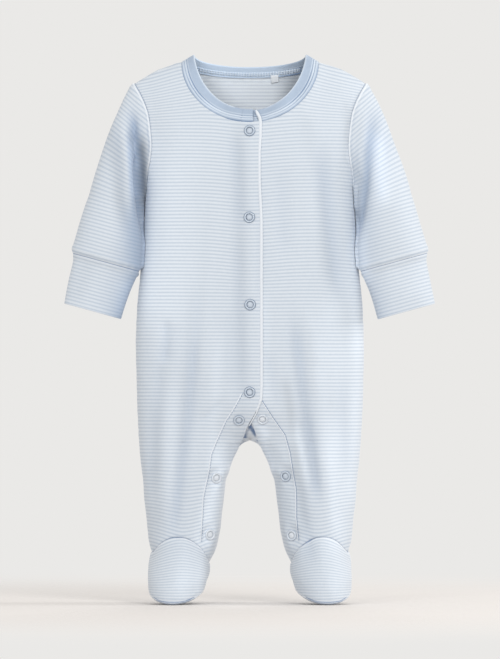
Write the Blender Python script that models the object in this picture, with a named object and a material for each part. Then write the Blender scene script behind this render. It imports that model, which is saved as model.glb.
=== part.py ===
"""A footed baby sleepsuit for about 0 to 3 months, filled out as if worn, with its snaps fastened.

Run with: blender --background --python part.py

Lengths are in millimetres and angles in degrees until the meshes are made, which are in metres. +X is the
wearer's left, -Y the front and +Z up. The origin is the middle of the shoulders, at the height of the neck's
side points.

Every cloth piece is a wall about a middle surface. The middle surfaces share their points along the seams,
where each wall is drawn back by half the seam gap, and they share their normals there, so that two walls
meet in a mitre.
"""

import math

import bpy
import numpy as np

# Cloth
JERSEY = 1.4  # one layer of striped jersey
RIB = 2.2  # the neckband, folded double
SEAM_GAP = 0.3  # between two pieces that are sewn together
LEAST_MITRE = 0.93  # cosine of the sharpest half angle at which a seam keeps its full thickness
LAYER_LIFT = 1.0  # how far an overlapping edge stands off the body's surface, outward or inward
LIFT_END, LIFT_FADE = 27.0, 14.0  # its reach from the middle plane, and the width over which it fades
LEG_LIFT_END = 30.0  # the same on the legs, from the inner line
CROTCH_LIFT = 2.4  # how much further in the strips lie behind both fronts, at the crotch
KEEP_CLEAR = 1.8  # from the body's widest line out to the sleeve, which hangs a little in front of that line

# Heights
UNDERARM = -137.0
FORK_TOP = -338.0  # where the front starts to round under, towards the crotch
FORK = -383.0  # the crotch
LEG_START, LEG_FULL = -300.0, -450.0  # between these the trunk's section turns into the leg's, at the sides
CROTCH_SPREAD = 42.0  # the crotch curve's reach to each side, as a turn
ANKLE_FRONT = -479.1  # top of the arch where the foot's top piece starts
ANKLE_OUTER = -494.0
ANKLE_INNER = -505.0
ARCH_TOP_TURN = 49.0  # the turn at which the arch is highest
ARCH_OUTER, ARCH_INNER = (7.5, 33.5), (6.0, 49.0)  # turns from there at which it leaves its top, and ends

# The trunk and both legs, seen from the front: half width at each height.
SIDE = (  # height, half_width
    (-137, 103.5), (-162, 105.0), (-192, 106.8), (-217, 109.2), (-252, 112.3), (-292, 113.5),
    (-342, 112.5), (-382, 110.5), (-402, 109.0), (-422, 106.6), (-442, 105.3), (-462, 102.8),
    (-482, 101.0), (-494, 98.0), (-506, 96.5),
)
INNER_LEG = (  # height, distance from the middle plane
    (-383, 0.0), (-386, 7.0), (-390, 11.0), (-394, 14.0), (-402, 18.0), (-414, 22.0), (-422, 25.0),
    (-442, 27.5), (-454, 29.5), (-470, 31.5), (-482, 34.0), (-494, 37.5), (-506, 42.5),
)
INNER_OVAL = (  # height, where a plain oval section of the leg would end, without the crotch's curve
    (-383, 17.0), (-402, 21.0), (-422, 25.2), (-442, 27.7), (-462, 30.3), (-482, 34.0), (-506, 42.5),
)
CROTCH_REACH = 46.0  # turn within which the leg's section stretches to its inner line
DEPTH = (  # height, front, back
    (-137, 41.0, 37.0), (-215, 42.0, 38.0), (-290, 43.0, 42.0), (-338, 42.0, 44.0), (-383, 40.0, 43.0),
)
LEG_DEPTH = (  # height, front, back
    (-330, 38.0, 42.0), (-400, 37.0, 38.0), (-440, 33.5, 34.0), (-480, 30.0, 29.0), (-506, 28.0, 27.0),
)
ROUNDNESS = 2.3  # exponent of the trunk's oval section

# Shoulders, neck and armholes
SHOULDER = (  # distance from the middle plane, height
    (0, 7.0), (30, 5.0), (50, 1.5), (68.5, -4.0), (89.5, -10.0), (104.5, -18.0), (115.5, -25.2), (125, -32),
)
SHOULDER_ROUND = 118.0  # height below the shoulder over which the chest reaches its full depth
SHOULDER_POWER = 1.8
ARM_SPREAD = 5.5 / 51.0**2  # how the trunk's side would widen above the underarm, per mm squared
NECK_WIDTH, NECK_DROP, NECK_CENTRE = 68.5, 62.0, -2.0  # front neck seam: half an ellipse
NECK_SIDE = -4.0  # height of the neck seam on the shoulder
NECK_BACK = -18.5  # height of the neck seam at the centre back
ARMHOLE = (  # height, distance from the middle plane at the front, and at the back
    (-137, 103.5, 103.5), (-130, 102.9, 102.9), (-118, 102.1, 102.3), (-109.5, 101.1, 102.0),
    (-100.7, 99.6, 101.7),
    (-86, 98.3, 102.0), (-72, 99.4, 102.8), (-56.8, 101.5, 104.5), (-48.5, 103.9, 106.2),
    (-37.7, 108.6, 110.0), (-25.2, 115.5, 115.5),
)

# Neckband: its free edge
BAND_WIDTH, BAND_DROP, BAND_CENTRE = 56.0, 62.5, 10.5
BAND_SIDE = 3.5
BAND_BACK = -8.0
BAND_LEAN = 0.86  # depth of the free edge, of the seam's
BAND_END = 3.5  # the top end reaches this far past the middle
BAND_TURN = math.acos((BAND_CENTRE - BAND_SIDE) / BAND_DROP)
BAND_TURN /= math.acos((NECK_CENTRE - NECK_SIDE) / NECK_DROP)  # its turn for each degree of the seam's
BAND_LIFT = 1.4  # how far its two ends lie out and in, where they overlap

# The front edges: how far each front's edge is from the middle plane, on its own side where positive.
FRONT_EDGE = (  # height, place
    (-395, 14.9), (-390, 11.8), (-382, 7.4), (-374, 4.2), (-366, 1.2), (-354, -4.6), (-343, -8.6),
    (-330, -9.3), (-230, -9.3), (-137, -7.6), (-60, -6.7),
)
EDGE_OVER_INNER = 0.5  # below the crotch each front's edge lies this far out from the leg's inner line
STRIP_END = -488.0  # lower end of the snap strips under the fronts' leg edges
STRIP_TOP = -348.0  # upper end, behind the crotch point
STRIP_LEAST_TURN = 3.0  # the strips' first column lies at least this far from the inner line
STRIP_NARROWING = 0.55  # how much of their width they lose towards their upper end
STRIP_NARROW_START = -405.0  # where that starts
CROTCH_LIFT_START, CROTCH_LIFT_END = -399.0, -387.0  # between these the strips go in behind both fronts
BACK_LIFT_TURN = 158.0  # from here to the inner leg the back goes in, to meet the strip
BACK_LIFT_FADE = 11.0  # height above the crotch over which it comes back out

# The binding on the right front's edge
BINDING_HALF_WIDTH, BINDING_HALF_HEIGHT, BINDING_LIFT = 1.5, 1.1, 1.25
BINDING_END_LIFT = 0.9  # how much further out its lower end lies, over both fronts
BINDING_BOTTOM = -372.0
BINDING_RISE = (-342.0, 14.0)  # where its lower end starts to lie further out, and how gradually
BINDING_TOP = (  # distance past the middle, height: from the neck seam up the neckband's end
    (8.7, -64.0), (8.2, -60.0), (6.6, -56.0), (5.4, -51.8),
)

# The blank tab inside the back neck: corners seen from the front
TAB = ((20.9, -18.4), (28.6, -18.2), (28.9, -22.4), (21.6, -23.5))  # x, height
TAB_THICKNESS, TAB_LIFT = 1.0, -1.6

# Sleeve and cuff, about an axis that leans out from the body
ARM_START = (127.6, -137.0)  # distance from the middle plane, height
ARM_LEAN = 15.3
SLEEVE = (  # along the axis, outer half width, half depth, forward shift
    (8, 32.6, 26.0, -7.0), (22, 33.4, 26.8, -8.5), (36, 33.5, 26.8, -10.0), (50, 33.6, 26.0, -11.0),
    (62, 34.0, 24.2, -11.7), (69, 32.2, 21.0, -12.0),
)
SLEEVE_INNER_END = 35.8  # inner half width where the cuff starts
CAP_OVER, CAP_UNDER = (0.82, 0, -0.57), (0.95, 0, -0.3)  # ways out of the armhole, on top and underneath
CAP_SWELL = 0.3  # how far its front and back swell out of it
CAP_LEAVE, CAP_LEAVE_UNDER = 0.36, 0.5  # how long it keeps that way, and how much longer underneath
CAP_ARRIVE = 0.9  # how long it runs along the arm before the sleeve's first ring
CUFF = (  # along the axis, outer half width, inner half width, half depth, forward shift
    (69, 32.2, 35.8, 21.0, -12.0), (76, 29.8, 34.6, 17.8, -12.4), (92, 28.6, 32.4, 16.0, -13.2),
    (106, 27.4, 31.4, 15.4, -14.0), (120, 26.2, 31.0, 15.0, -14.8),
)

# Foot
TOE, HEEL = -79.0, 25.0  # depth of the sole's ends
SOLE_TOE = -544.4  # height of the sole seam at the toe
SOLE_SLOPE = 0.25  # how much it rises for each mm towards the heel
SOLE_HALF_WIDTH = 26.0
FOOT_AXIS, FOOT_SPLAY = 70.5, 0.09  # the foot's middle line, from the middle plane, and its lean outward
SOLE_BULGE = 3.6
SWELL, INSTEP = 0.33, 0.35  # how far the foot bulges out, and its top forward, for each mm of its height
SIDE_SEAM_TURN = 104.0  # place of the foot's side seams on the sole, from the toe
HEEL_TAPER, TAPER_START, TAPER_LENGTH = 0.16, -30.0, 50.0  # the sole's narrowing, its start and its length
SOLE_RINGS = (0.0, 0.22, 0.55, 1.0)  # rings of the sole: how far each lies in from its seam to its middle
FOOT_LEAVE = 0.8  # how far the foot's sides go straight down from the ankle seam
FOOT_ARRIVE, FOOT_TUCK = 0.9, 0.25  # how far they go down, and in, to the sole

# Snaps: ring caps on the outer face
CAP_RADIUS, CAP_HOLE, CAP_HEIGHT = 5.65, 3.4, 1.3
CAP_GAP = 0.45
CAP_SIDES = 14
SNAPS = (  # name, distance from the middle plane (wearer's left positive), height, front that carries it
    ("snap_1", -0.4, -73.0, "front_right"), ("snap_2", -0.6, -159.4, "front_right"),
    ("snap_3", 0.2, -246.6, "front_right"), ("snap_4", -0.3, -334.0, "front_right"),
    ("snap_5", -11.0, -361.8, "front_right"), ("snap_6", 12.5, -361.0, "front_left"),
    ("snap_7", -33.7, -419.8, "front_right"), ("snap_8", 35.7, -418.0, "front_left"),
    ("snap_9", -40.0, -476.6, "front_right"), ("snap_10", 41.7, -477.2, "front_left"),
)

# Large folds: soft troughs (negative height) and ridges along a line seen from the front or the back.
FOLDS = (  # side, start x, start z, end x, end z, half width, height
    ("front", -116, -66, -106, -152, 7.0, -4.2), ("front", 124, -68, 108, -170, 6.5, -3.8),
    ("front", -50, -245, -74, -462, 9.0, -2.2), ("front", 46, -275, 68, -432, 9.0, -2.2),
    ("front", -78, -270, -84, -300, 8.0, -1.4), ("front", 66, -268, 68, -302, 8.0, 1.3),
    ("front", -132, -74, -124, -132, 8.0, -1.2), ("front", 136, -80, 128, -140, 8.0, -1.2),
    ("back", -114, -70, -106, -150, 7.0, -3.6), ("back", 118, -74, 108, -158, 7.0, -3.8),
    ("back", -34, -150, -58, -300, 10.0, -2.0), ("back", 40, -170, 52, -320, 10.0, -1.8),
    ("back", -60, -392, -72, -460, 9.0, -2.0), ("back", 64, -396, 74, -466, 9.0, -2.0),
    ("back", -48, -352, -14, -374, 7.0, -1.6), ("back", 50, -350, 16, -374, 7.0, -1.6),
)

# Resolution
TRUNK_COLUMNS = 10  # in each quarter of the trunk
ARMHOLE_COLUMNS = 10
YOKE_ROWS = 7
FORK_ROWS = 6
TRUNK_STEP = 20.0
LEG_HEIGHTS = (-390.0, -399.0, -411.0, -425.0, -441.0)
ANKLE_ROWS = 4
FOOT_ROWS = 6
CAP_ROWS = 6  # of the sleeve's cap

COLOURS = {  # name: red, green, blue, roughness
    "striped_jersey": (0.79, 0.84, 0.90, 0.9),
    "blue_rib": (0.50, 0.62, 0.78, 0.9),
    "pale_binding": (0.84, 0.87, 0.90, 0.85),
    "white_label": (0.90, 0.90, 0.90, 0.8),
    "painted_metal": (0.55, 0.64, 0.74, 0.45),
}


def ease(value):
    """0 below 0, 1 above 1, with a smooth step between."""
    value = np.clip(value, 0.0, 1.0)
    return value * value * (3.0 - 2.0 * value)


def curve(table, column=1):
    """A smooth function through a column of a table against its first column, without overshoot."""
    rows = sorted(table)
    x = np.array([row[0] for row in rows], float)
    y = np.array([row[column] for row in rows], float)
    step = np.diff(x)
    slope = np.diff(y) / step
    product = slope[1:] * slope[:-1]
    total = np.where(product > 0, slope[1:] + slope[:-1], 1.0)
    inner = np.where(product > 0, 2.0 * product / total, 0.0)
    tangent = np.concatenate([slope[:1], inner, slope[-1:]])

    def at(value):
        value = np.clip(np.asarray(value, float), x[0], x[-1])
        k = np.clip(np.searchsorted(x, value) - 1, 0, len(step) - 1)
        leave, arrive = tangent[k] * step[k], tangent[k + 1] * step[k]
        return hermite(y[k], y[k + 1], leave, arrive, (value - x[k]) / step[k])

    return at


def hermite(start, end, leave, arrive, f):
    """The point at f, from 0 to 1, on the cubic from start to end with these end tangents."""
    return (
        (2 * f**3 - 3 * f**2 + 1) * start
        + (f**3 - 2 * f**2 + f) * leave
        + (3 * f**2 - 2 * f**3) * end
        + (f**3 - f**2) * arrive
    )


side_at = curve(SIDE)
inner_at, oval_at = curve(INNER_LEG), curve(INNER_OVAL)
front_depth_at, back_depth_at = curve(DEPTH, 1), curve(DEPTH, 2)
leg_front_at, leg_back_at = curve(LEG_DEPTH, 1), curve(LEG_DEPTH, 2)
shoulder_at = curve(SHOULDER)
front_edge_at = curve(FRONT_EDGE)


def from_middle(turn):
    """How far this turn is from the front's or the back's middle."""
    return np.minimum(np.abs(turn), 180.0 - np.abs(turn))


def forked(turn, height):
    """How far the section has turned from the trunk's oval into the leg's ring, from 0 to 1.

    At the middle it follows a round crotch curve, and towards the sides it changes slowly.
    """
    down = np.clip((FORK_TOP - height) / (FORK_TOP - FORK), 0.0, 1.0)
    middle = 1.0 - np.sqrt(1.0 - down**2)
    sides = ease((LEG_START - height) / (LEG_START - LEG_FULL))
    return sides + (middle - sides) * (1.0 - ease(from_middle(turn) / CROTCH_SPREAD))


def body(turn, height):
    """The body's surface. The turn is 0 at the centre front, 90 at the side seam and 180 at the centre back.

    Below the crotch the same turn runs once round the leg, from its inner line and back to it. A turn below
    0 is past the centre front, on the other side.
    """
    turn, height = np.broadcast_arrays(np.asarray(turn, float), np.asarray(height, float))
    other, angle = np.sign(turn + 1e-12), np.radians(np.abs(turn))
    fork, half = forked(turn, height), side_at(height)
    across, along = np.sin(angle), np.cos(angle)
    power = 2.0 / ROUNDNESS
    depth = np.where(along > 0, front_depth_at(height), back_depth_at(height))
    trunk_x = half * np.abs(across) ** power
    trunk_y = -np.sign(along) * depth * np.abs(along) ** power
    inner, oval = np.where(height < FORK, inner_at(height), 0.0), oval_at(height)
    leg_depth = np.where(along > 0, leg_front_at(height), leg_back_at(height))
    near = 1.0 - ease(from_middle(turn) / CROTCH_REACH)
    leg_x = (half + oval) / 2 - (half - oval) / 2 * np.cos(2 * angle) + (inner - oval) * near
    leg_y = -leg_depth * np.sin(2 * angle)
    x = other * ((1 - fork) * trunk_x + fork * leg_x)
    return np.stack([x, (1 - fork) * trunk_y + fork * leg_y, height], axis=-1)


def yoke(x, height, front):
    """The chest or the upper back, above the underarm, at this place seen from the front."""
    drop = np.clip((shoulder_at(np.abs(x)) - height) / SHOULDER_ROUND, 0.0, 1.0)
    full = DEPTH[0][1] if front else DEPTH[0][2]
    depth = full * (1 - (1 - drop) ** SHOULDER_POWER) ** (1 / SHOULDER_POWER)
    half = SIDE[0][1] + ARM_SPREAD * np.maximum(height - UNDERARM, 0.0) ** 2
    rounding = np.clip(1 - (np.abs(x) / half) ** ROUNDNESS, 0.0, 1.0) ** (1 / ROUNDNESS)
    return np.stack([x, (-1 if front else 1) * depth * rounding, height], axis=-1)


def turn_at(x, height):
    """The turn at which the front is this far from the middle plane."""
    low, high = np.full(np.shape(height), -25.0), np.full(np.shape(height), 60.0)
    for _ in range(40):
        middle = (low + high) / 2
        short = body(middle, height)[..., 0] < x
        low, high = np.where(short, middle, low), np.where(short, high, middle)
    return (low + high) / 2


def edge_turn(height):
    """The turn at which a front's edge lies at this height."""
    place = front_edge_at(height)
    inner = np.where(height < FORK, inner_at(height), 0.0)
    place = np.where(height < FORK, np.maximum(place, inner + EDGE_OVER_INNER), place)
    return turn_at(place, height)


def ankle_seam(turn):
    """Height of the seam round the ankle: an arch over the foot, lower on the leg's inner side."""
    top, outward, inward = ARCH_TOP_TURN, ARCH_OUTER, ARCH_INNER
    outer_share = ease((turn - top - outward[0]) / (outward[1] - outward[0]))
    inner_share = ease((top - turn - inward[0]) / (inward[1] - inward[0]))
    outer = ANKLE_FRONT + (ANKLE_OUTER - ANKLE_FRONT) * outer_share
    inner = ANKLE_FRONT + (ANKLE_INNER - ANKLE_FRONT) * inner_share
    behind = ANKLE_OUTER + (ANKLE_INNER - ANKLE_OUTER) * ease((turn - 90.0) / 90.0)
    return np.where(turn > 90, behind, np.where(turn > top, outer, inner))


def folds(points, arm):
    """Height of the large folds at these points of the middle surface, on the trunk or on an arm."""
    x, y, z = points[..., 0], points[..., 1], points[..., 2]
    total = np.zeros(x.shape)
    for side, x0, z0, x1, z1, width, height in FOLDS:
        if arm != (max(abs(x0), abs(x1)) > 104 and z0 > -160):
            continue
        length = math.hypot(x1 - x0, z1 - z0)
        along = ((x - x0) * (x1 - x0) + (z - z0) * (z1 - z0)) / length**2
        across = ((x - x0) * (z1 - z0) - (z - z0) * (x1 - x0)) / length
        ends = ease((along + 0.25) / 0.4) * ease((1.25 - along) / 0.4)
        facing = ease((-y if side == "front" else y) / 8.0)
        total += height * np.exp(-((across / width) ** 2)) * ends * facing
    return total


def flipped(face):
    """The same face seen from behind, from the same first corner."""
    return face[:1] + face[:0:-1]


class Sheet:
    """The middle surface of one cloth piece: patches of quads that share the points they have in common."""

    def __init__(self, name, thickness, material):
        self.name, self.thickness, self.material = name, thickness, material
        self.points, self.lifts, self.faces, self.known = [], [], [], {}

    def add(self, grid, lift=0.0, mirrored=False, closed=False):
        """A grid whose rows run down and whose columns run with the turn, lifted outward."""
        grid = np.array(grid, float)
        lift = np.broadcast_to(lift, grid.shape[:2])
        if mirrored:
            grid[..., 0] *= -1
        index = np.empty(grid.shape[:2], int)
        for i, j in np.ndindex(index.shape):
            key = tuple(np.round(grid[i, j], 3) + 0.0)
            if key not in self.known:
                self.known[key] = len(self.points)
                self.points.append(grid[i, j])
                self.lifts.append(lift[i, j])
            index[i, j] = self.known[key]
        rows, columns = index.shape
        for i in range(rows - 1):
            for j in range(columns if closed else columns - 1):
                k = (j + 1) % columns
                corners = [index[i, j], index[i + 1, j], index[i + 1, k], index[i, k]]
                if mirrored:
                    corners = flipped(corners)
                face = [c for n, c in enumerate(corners) if c != corners[n - 1]]
                if len(face) > 2:
                    self.faces.append(face)


def face_normal(points, face):
    """The face's normal, as long as twice its area."""
    a, c = points[face[0]], points[face[2]]
    b, d = points[face[1]], points[face[-1]]
    return np.cross(c - a, d - b) if len(face) > 3 else np.cross(b - a, c - a)


def unit(vectors):
    return vectors / np.linalg.norm(vectors, axis=-1, keepdims=True)


def point_normals(faces, points):
    """Each point's normal from the faces round it."""
    total = np.zeros(points.shape)
    for face in faces:
        total[face] += face_normal(points, face)
    return unit(total)


def between(normals):
    """The direction that leans least from the furthest of these normals."""
    way = unit(np.sum(normals, axis=0))
    for _ in range(40 if len(normals) > 1 else 0):
        furthest = min(normals, key=lambda normal: float(normal @ way))
        way = unit(way + 0.1 * furthest)
    return way


def shared_normals(sheets, middles):
    """For each sheet, its points' mitre directions, halfway between the normals of the pieces that meet.

    They are lengthened so that a wall keeps its thickness up to the seam.
    """
    own = [point_normals(sheet.faces, middle) for sheet, middle in zip(sheets, middles)]
    keys = [[tuple(np.round(point, 2) + 0.0) for point in sheet.points] for sheet in sheets]
    meeting = {}
    for normals, places in zip(own, keys):
        for normal, place in zip(normals, places):
            meeting.setdefault(place, []).append(normal)
    ways = {place: between(normals) for place, normals in meeting.items()}
    found = []
    for normals, places in zip(own, keys):
        shared = np.array([ways[place] for place in places])
        across = np.maximum((normals * shared).sum(axis=1, keepdims=True), LEAST_MITRE)
        found.append(shared / across)
    return found


def drawn_back(points, faces, distance):
    """The points, with those on the border moved into the sheet by this distance."""
    edges = {}
    for face in faces:
        for n, corner in enumerate(face):
            edges[(face[n - 1], corner)] = face
    inward = {}
    for (a, b), face in edges.items():
        if (b, a) in edges:
            continue
        direction = np.cross(face_normal(points, face), points[b] - points[a])
        direction /= np.linalg.norm(direction)
        for corner in (a, b):
            inward.setdefault(corner, []).append(direction)
    moved = points.copy()
    for corner, directions in inward.items():
        total = np.sum(directions, axis=0)
        moved[corner] += distance * total / max(0.5, 1 + float(np.dot(directions[0], directions[-1])))
    return moved, [edge for edge in edges if (edge[1], edge[0]) not in edges]


def material(name):
    """The named material, made on its first use."""
    if name in bpy.data.materials:
        return bpy.data.materials[name]
    made = bpy.data.materials.new(name)
    made.use_nodes = True
    red, green, blue, roughness = COLOURS[name]
    shader = made.node_tree.nodes["Principled BSDF"]
    shader.inputs["Base Color"].default_value = (red, green, blue, 1)
    shader.inputs["Roughness"].default_value = roughness
    shader.inputs["Metallic"].default_value = 0.0
    return made


def add_object(name, points, faces, material_name):
    """A mesh object from points in millimetres."""
    mesh = bpy.data.meshes.new(name)
    mesh.from_pydata([tuple(point * 0.001) for point in np.asarray(points)], [], faces)
    mesh.validate()
    mesh.shade_smooth()
    mesh.set_sharp_from_angle(angle=math.radians(50))
    mesh.materials.append(material(material_name))
    made = bpy.data.objects.new(name, mesh)
    bpy.context.scene.collection.objects.link(made)
    return made


def build_walls(sheets):
    """A closed wall for each sheet. It returns each sheet's outer points and faces."""
    bases = [np.array(sheet.points) for sheet in sheets]
    normals = shared_normals(sheets, bases)
    middles = [base + n * np.array(sheet.lifts)[:, None] for sheet, base, n in zip(sheets, bases, normals)]
    normals = shared_normals(sheets, middles)
    outside = {}
    for sheet, middle, normal in zip(sheets, middles, normals):
        middle, border = drawn_back(middle, sheet.faces, SEAM_GAP / 2)
        outer = middle + normal * sheet.thickness / 2
        inner = middle - normal * sheet.thickness / 2
        count = len(middle)
        faces = list(sheet.faces) + [[corner + count for corner in flipped(face)] for face in sheet.faces]
        faces += [[b, a, a + count, b + count] for a, b in border]
        add_object(sheet.name, np.concatenate([outer, inner]), faces, sheet.material)
        outside[sheet.name] = (outer, sheet.faces)
    return outside


def trunk_heights():
    """Heights of the rows from the underarm to the crotch."""
    rows = round((UNDERARM - FORK_TOP) / TRUNK_STEP)
    plain = np.linspace(UNDERARM, FORK_TOP, rows + 1)[:-1]
    rounding = np.sin(np.linspace(0, math.pi / 2, FORK_ROWS + 1))
    return np.concatenate([plain, FORK_TOP + (FORK - FORK_TOP) * rounding])


def column_heights(turn):
    """Heights of one column's rows from the underarm down. The last ones close up on the ankle seam."""
    heights = np.concatenate([trunk_heights(), LEG_HEIGHTS])
    start, seam = heights[-1], ankle_seam(turn)
    return np.append(heights, start + (seam - start) * np.arange(1, ANKLE_ROWS + 1) / ANKLE_ROWS)


def body_grid(turns):
    """Rows of the body from the underarm to the ankle seam, with their turns and heights."""
    last = turns(ANKLE_INNER)
    heights = np.array([column_heights(turn) for turn in last]).T
    inner = column_heights(np.array(0.0))
    grid_turns = np.array([turns(height) for height in inner])
    return body(grid_turns, heights), grid_turns, heights


def front_turns(height):
    """The turns of a front's columns, from its edge to the side seam.

    At the ankle the edge meets the back.
    """
    start = LEG_HEIGHTS[-1]
    share = np.clip((height - ANKLE_INNER) / (start - ANKLE_INNER), 0.0, 1.0)
    edge = float(edge_turn(np.array(max(height, start))) * share)
    return np.linspace(edge, 90.0, TRUNK_COLUMNS + 1)


def back_turns(height):
    """The turns of the back's columns, from the side seam to the centre or the inner leg."""
    return np.linspace(90.0, 180.0, TRUNK_COLUMNS + 1)


def edge_lift(x, height, top):
    """How far a front stands off the body's surface beside its edge: the top one out, the other one in."""
    near = ease((LIFT_END - np.abs(x)) / LIFT_FADE)
    inside = LAYER_LIFT * (1.0 - 2.0 * ease((height - FORK) / LIFT_FADE))
    lift = LAYER_LIFT if top else np.where(height < FORK, LAYER_LIFT, inside)
    leg = ease((inner_at(height) + LEG_LIFT_END - np.abs(x)) / LIFT_FADE) * ankle_fade(height)
    return lift * np.where(height > FORK, near, leg)


def ankle_fade(height):
    """1 on the leg, and 0 at the ankle's lowest point, where the overlapping edges end in the seam."""
    return ease((height - ANKLE_INNER - 1.0) / 13.0)


def strip_lift(height):
    """The snap strips lie inside the fronts' leg edges. They come level with the seam at the ankle."""
    return -LAYER_LIFT * ankle_fade(height)


def back_lift(turn, height):
    """Near the inner leg the back goes in, to meet the snap strip."""
    inward = ease((turn - BACK_LIFT_TURN) / (180.0 - BACK_LIFT_TURN))
    return strip_lift(height) * inward * ease((FORK + BACK_LIFT_FADE - height) / BACK_LIFT_FADE)


def neck_turns(columns):
    """Angles of the neck seam's points, from past the centre front to the shoulder."""
    start = -math.degrees(math.asin(-front_edge_at(NECK_CENTRE - NECK_DROP) / NECK_WIDTH))
    end = math.degrees(math.acos((NECK_CENTRE - NECK_SIDE) / NECK_DROP))
    middle = 45.0
    lower = np.linspace(start, middle, TRUNK_COLUMNS + 1)
    upper = middle + (end - middle) * np.sin(np.linspace(0, math.pi / 2, columns + 1))
    return np.concatenate([lower, upper[1:]])


def front_neck(angle):
    """The front neck seam, seen from the front: x and height."""
    angle = np.radians(angle)
    return np.stack([NECK_WIDTH * np.sin(angle), NECK_CENTRE - NECK_DROP * np.cos(angle)], axis=-1)


def back_neck(share):
    """The back neck seam from the shoulder (0) to the centre back (1), seen from the front."""
    end = float(front_neck(neck_turns(ARMHOLE_COLUMNS)[-1])[0])
    angle = share * math.pi / 2
    return np.stack([end * np.cos(angle), NECK_SIDE + (NECK_BACK - NECK_SIDE) * np.sin(angle)], axis=-1)


def back_neck_shares():
    """Places of the back neck seam's points, from the shoulder (0) to the centre back (1)."""
    upper = 0.5 * (1 - np.sin(np.linspace(math.pi / 2, 0, ARMHOLE_COLUMNS + 1)))
    return np.concatenate([upper[:-1], np.linspace(0.5, 1.0, TRUNK_COLUMNS + 1)])


def armhole(front):
    """The armhole from the underarm to the shoulder's tip, seen from the front."""
    share = np.linspace(0, 1, ARMHOLE_COLUMNS + 1)
    rise = (share + (1 - np.cos(math.pi * share)) / 2) / 2
    height = UNDERARM + (ARMHOLE[-1][0] - UNDERARM) * rise
    return np.stack([curve(ARMHOLE, 1 if front else 2)(height), height], axis=-1)


def fan(neck, outline, shoulder_column, front):
    """Rows from the neck seam out to the underarm and the armhole. One side column is the shoulder seam."""
    share = np.linspace(0, 1, YOKE_ROWS + 1)[:, None, None]
    flat = (1 - share) * neck + share * outline
    x = np.linspace(neck[shoulder_column][0], outline[shoulder_column][0], YOKE_ROWS + 1)
    seam = np.stack([x, shoulder_at(x)], axis=-1)
    pull = seam - flat[:, shoulder_column]
    reach = np.abs(np.arange(len(neck)) - (shoulder_column % len(neck)))
    flat += pull[:, None] * np.exp(-reach / 1.5)[None, :, None]
    return yoke(flat[..., 0], flat[..., 1], front)


def front_yoke():
    """The chest from the neck seam to the underarm and the armhole, from the front's edge to the shoulder."""
    row = body(front_turns(UNDERARM), UNDERARM)
    outline = np.concatenate([row[:, [0, 2]], armhole(True)[1:]])
    return fan(front_neck(neck_turns(ARMHOLE_COLUMNS)), outline, -1, True)


def back_yoke():
    """The upper back, from the shoulder to the centre back."""
    row = body(back_turns(UNDERARM), UNDERARM)
    outline = np.concatenate([armhole(False)[::-1], row[1:, [0, 2]]])
    return fan(back_neck(back_neck_shares()), outline, 0, False)


def make_fronts():
    """Both fronts. The wearer's right one lies on top."""
    sheets = []
    for name, top, mirrored in (("front_right", True, True), ("front_left", False, False)):
        sheet = Sheet(name, JERSEY, "striped_jersey")
        sign = -1 if mirrored else 1
        for grid in (front_yoke(), body_grid(front_turns)[0]):
            own = grid[..., 0]
            seen = grid * np.array([sign, 1, 1])
            lift = edge_lift(own, grid[..., 2], top) + folds(seen, False)
            sheet.add(grid, lift, mirrored)
        sheets.append(sheet)
    return sheets


def strip_turns(height):
    """The turns of a snap strip's columns, from the inner line to its hidden edge."""
    turns = front_turns(height)
    first = max(turns[0], STRIP_LEAST_TURN)
    step = turns[1] - turns[0]
    narrow = 1.0 - STRIP_NARROWING * float(ease((height - STRIP_NARROW_START) / (STRIP_TOP - FORK)))
    return np.array([0.0, first, first + step * narrow, first + 2 * step * narrow])


def strip_lifts(strip):
    """The strips' lift: more behind the crotch point, but not on the inner line, where they meet the back."""
    heights = strip[..., 2]
    more = CROTCH_LIFT * ease((heights - CROTCH_LIFT_START) / (CROTCH_LIFT_END - CROTCH_LIFT_START))
    more[:, 0] *= heights[:, 0] > FORK + 0.01
    return strip_lift(heights) - more


def make_back(heel):
    """The back with both leg backs, their snap strips and the heels."""
    sheet = Sheet("back", JERSEY, "striped_jersey")
    heights = [h for h in column_heights(np.array(180.0)) if STRIP_END - 1 < h < STRIP_TOP]
    strip = np.array([body(strip_turns(h), h) for h in heights])
    for mirrored in (False, True):
        sign = np.array([-1 if mirrored else 1, 1, 1])
        grid, turns, levels = body_grid(back_turns)
        sheet.add(grid, back_lift(turns, levels) + folds(grid * sign, False), mirrored)
        grid = back_yoke()
        sheet.add(grid, folds(grid * sign, False), mirrored)
        sheet.add(strip, strip_lifts(strip), mirrored)
        sheet.add(heel, folds(heel * sign, False), mirrored)
    return sheet


def sole_point(turn, inward=0.0):
    """A point of the sole, at this turn from the toe, and this share of the way in to its middle."""
    angle = np.radians(turn)
    reach = 1.0 - inward
    y = (TOE + HEEL) / 2 + (TOE - HEEL) / 2 * np.cos(angle) * reach
    taper = 1.0 - HEEL_TAPER * ease((y - TAPER_START) / TAPER_LENGTH)
    x = FOOT_AXIS - FOOT_SPLAY * y + SOLE_HALF_WIDTH * taper * np.sin(angle) * reach
    z = SOLE_TOE + SOLE_SLOPE * (y - TOE) - SOLE_BULGE * (1 - reach**2)
    return np.stack([x, y, z * np.ones_like(y)], axis=-1)


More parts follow.
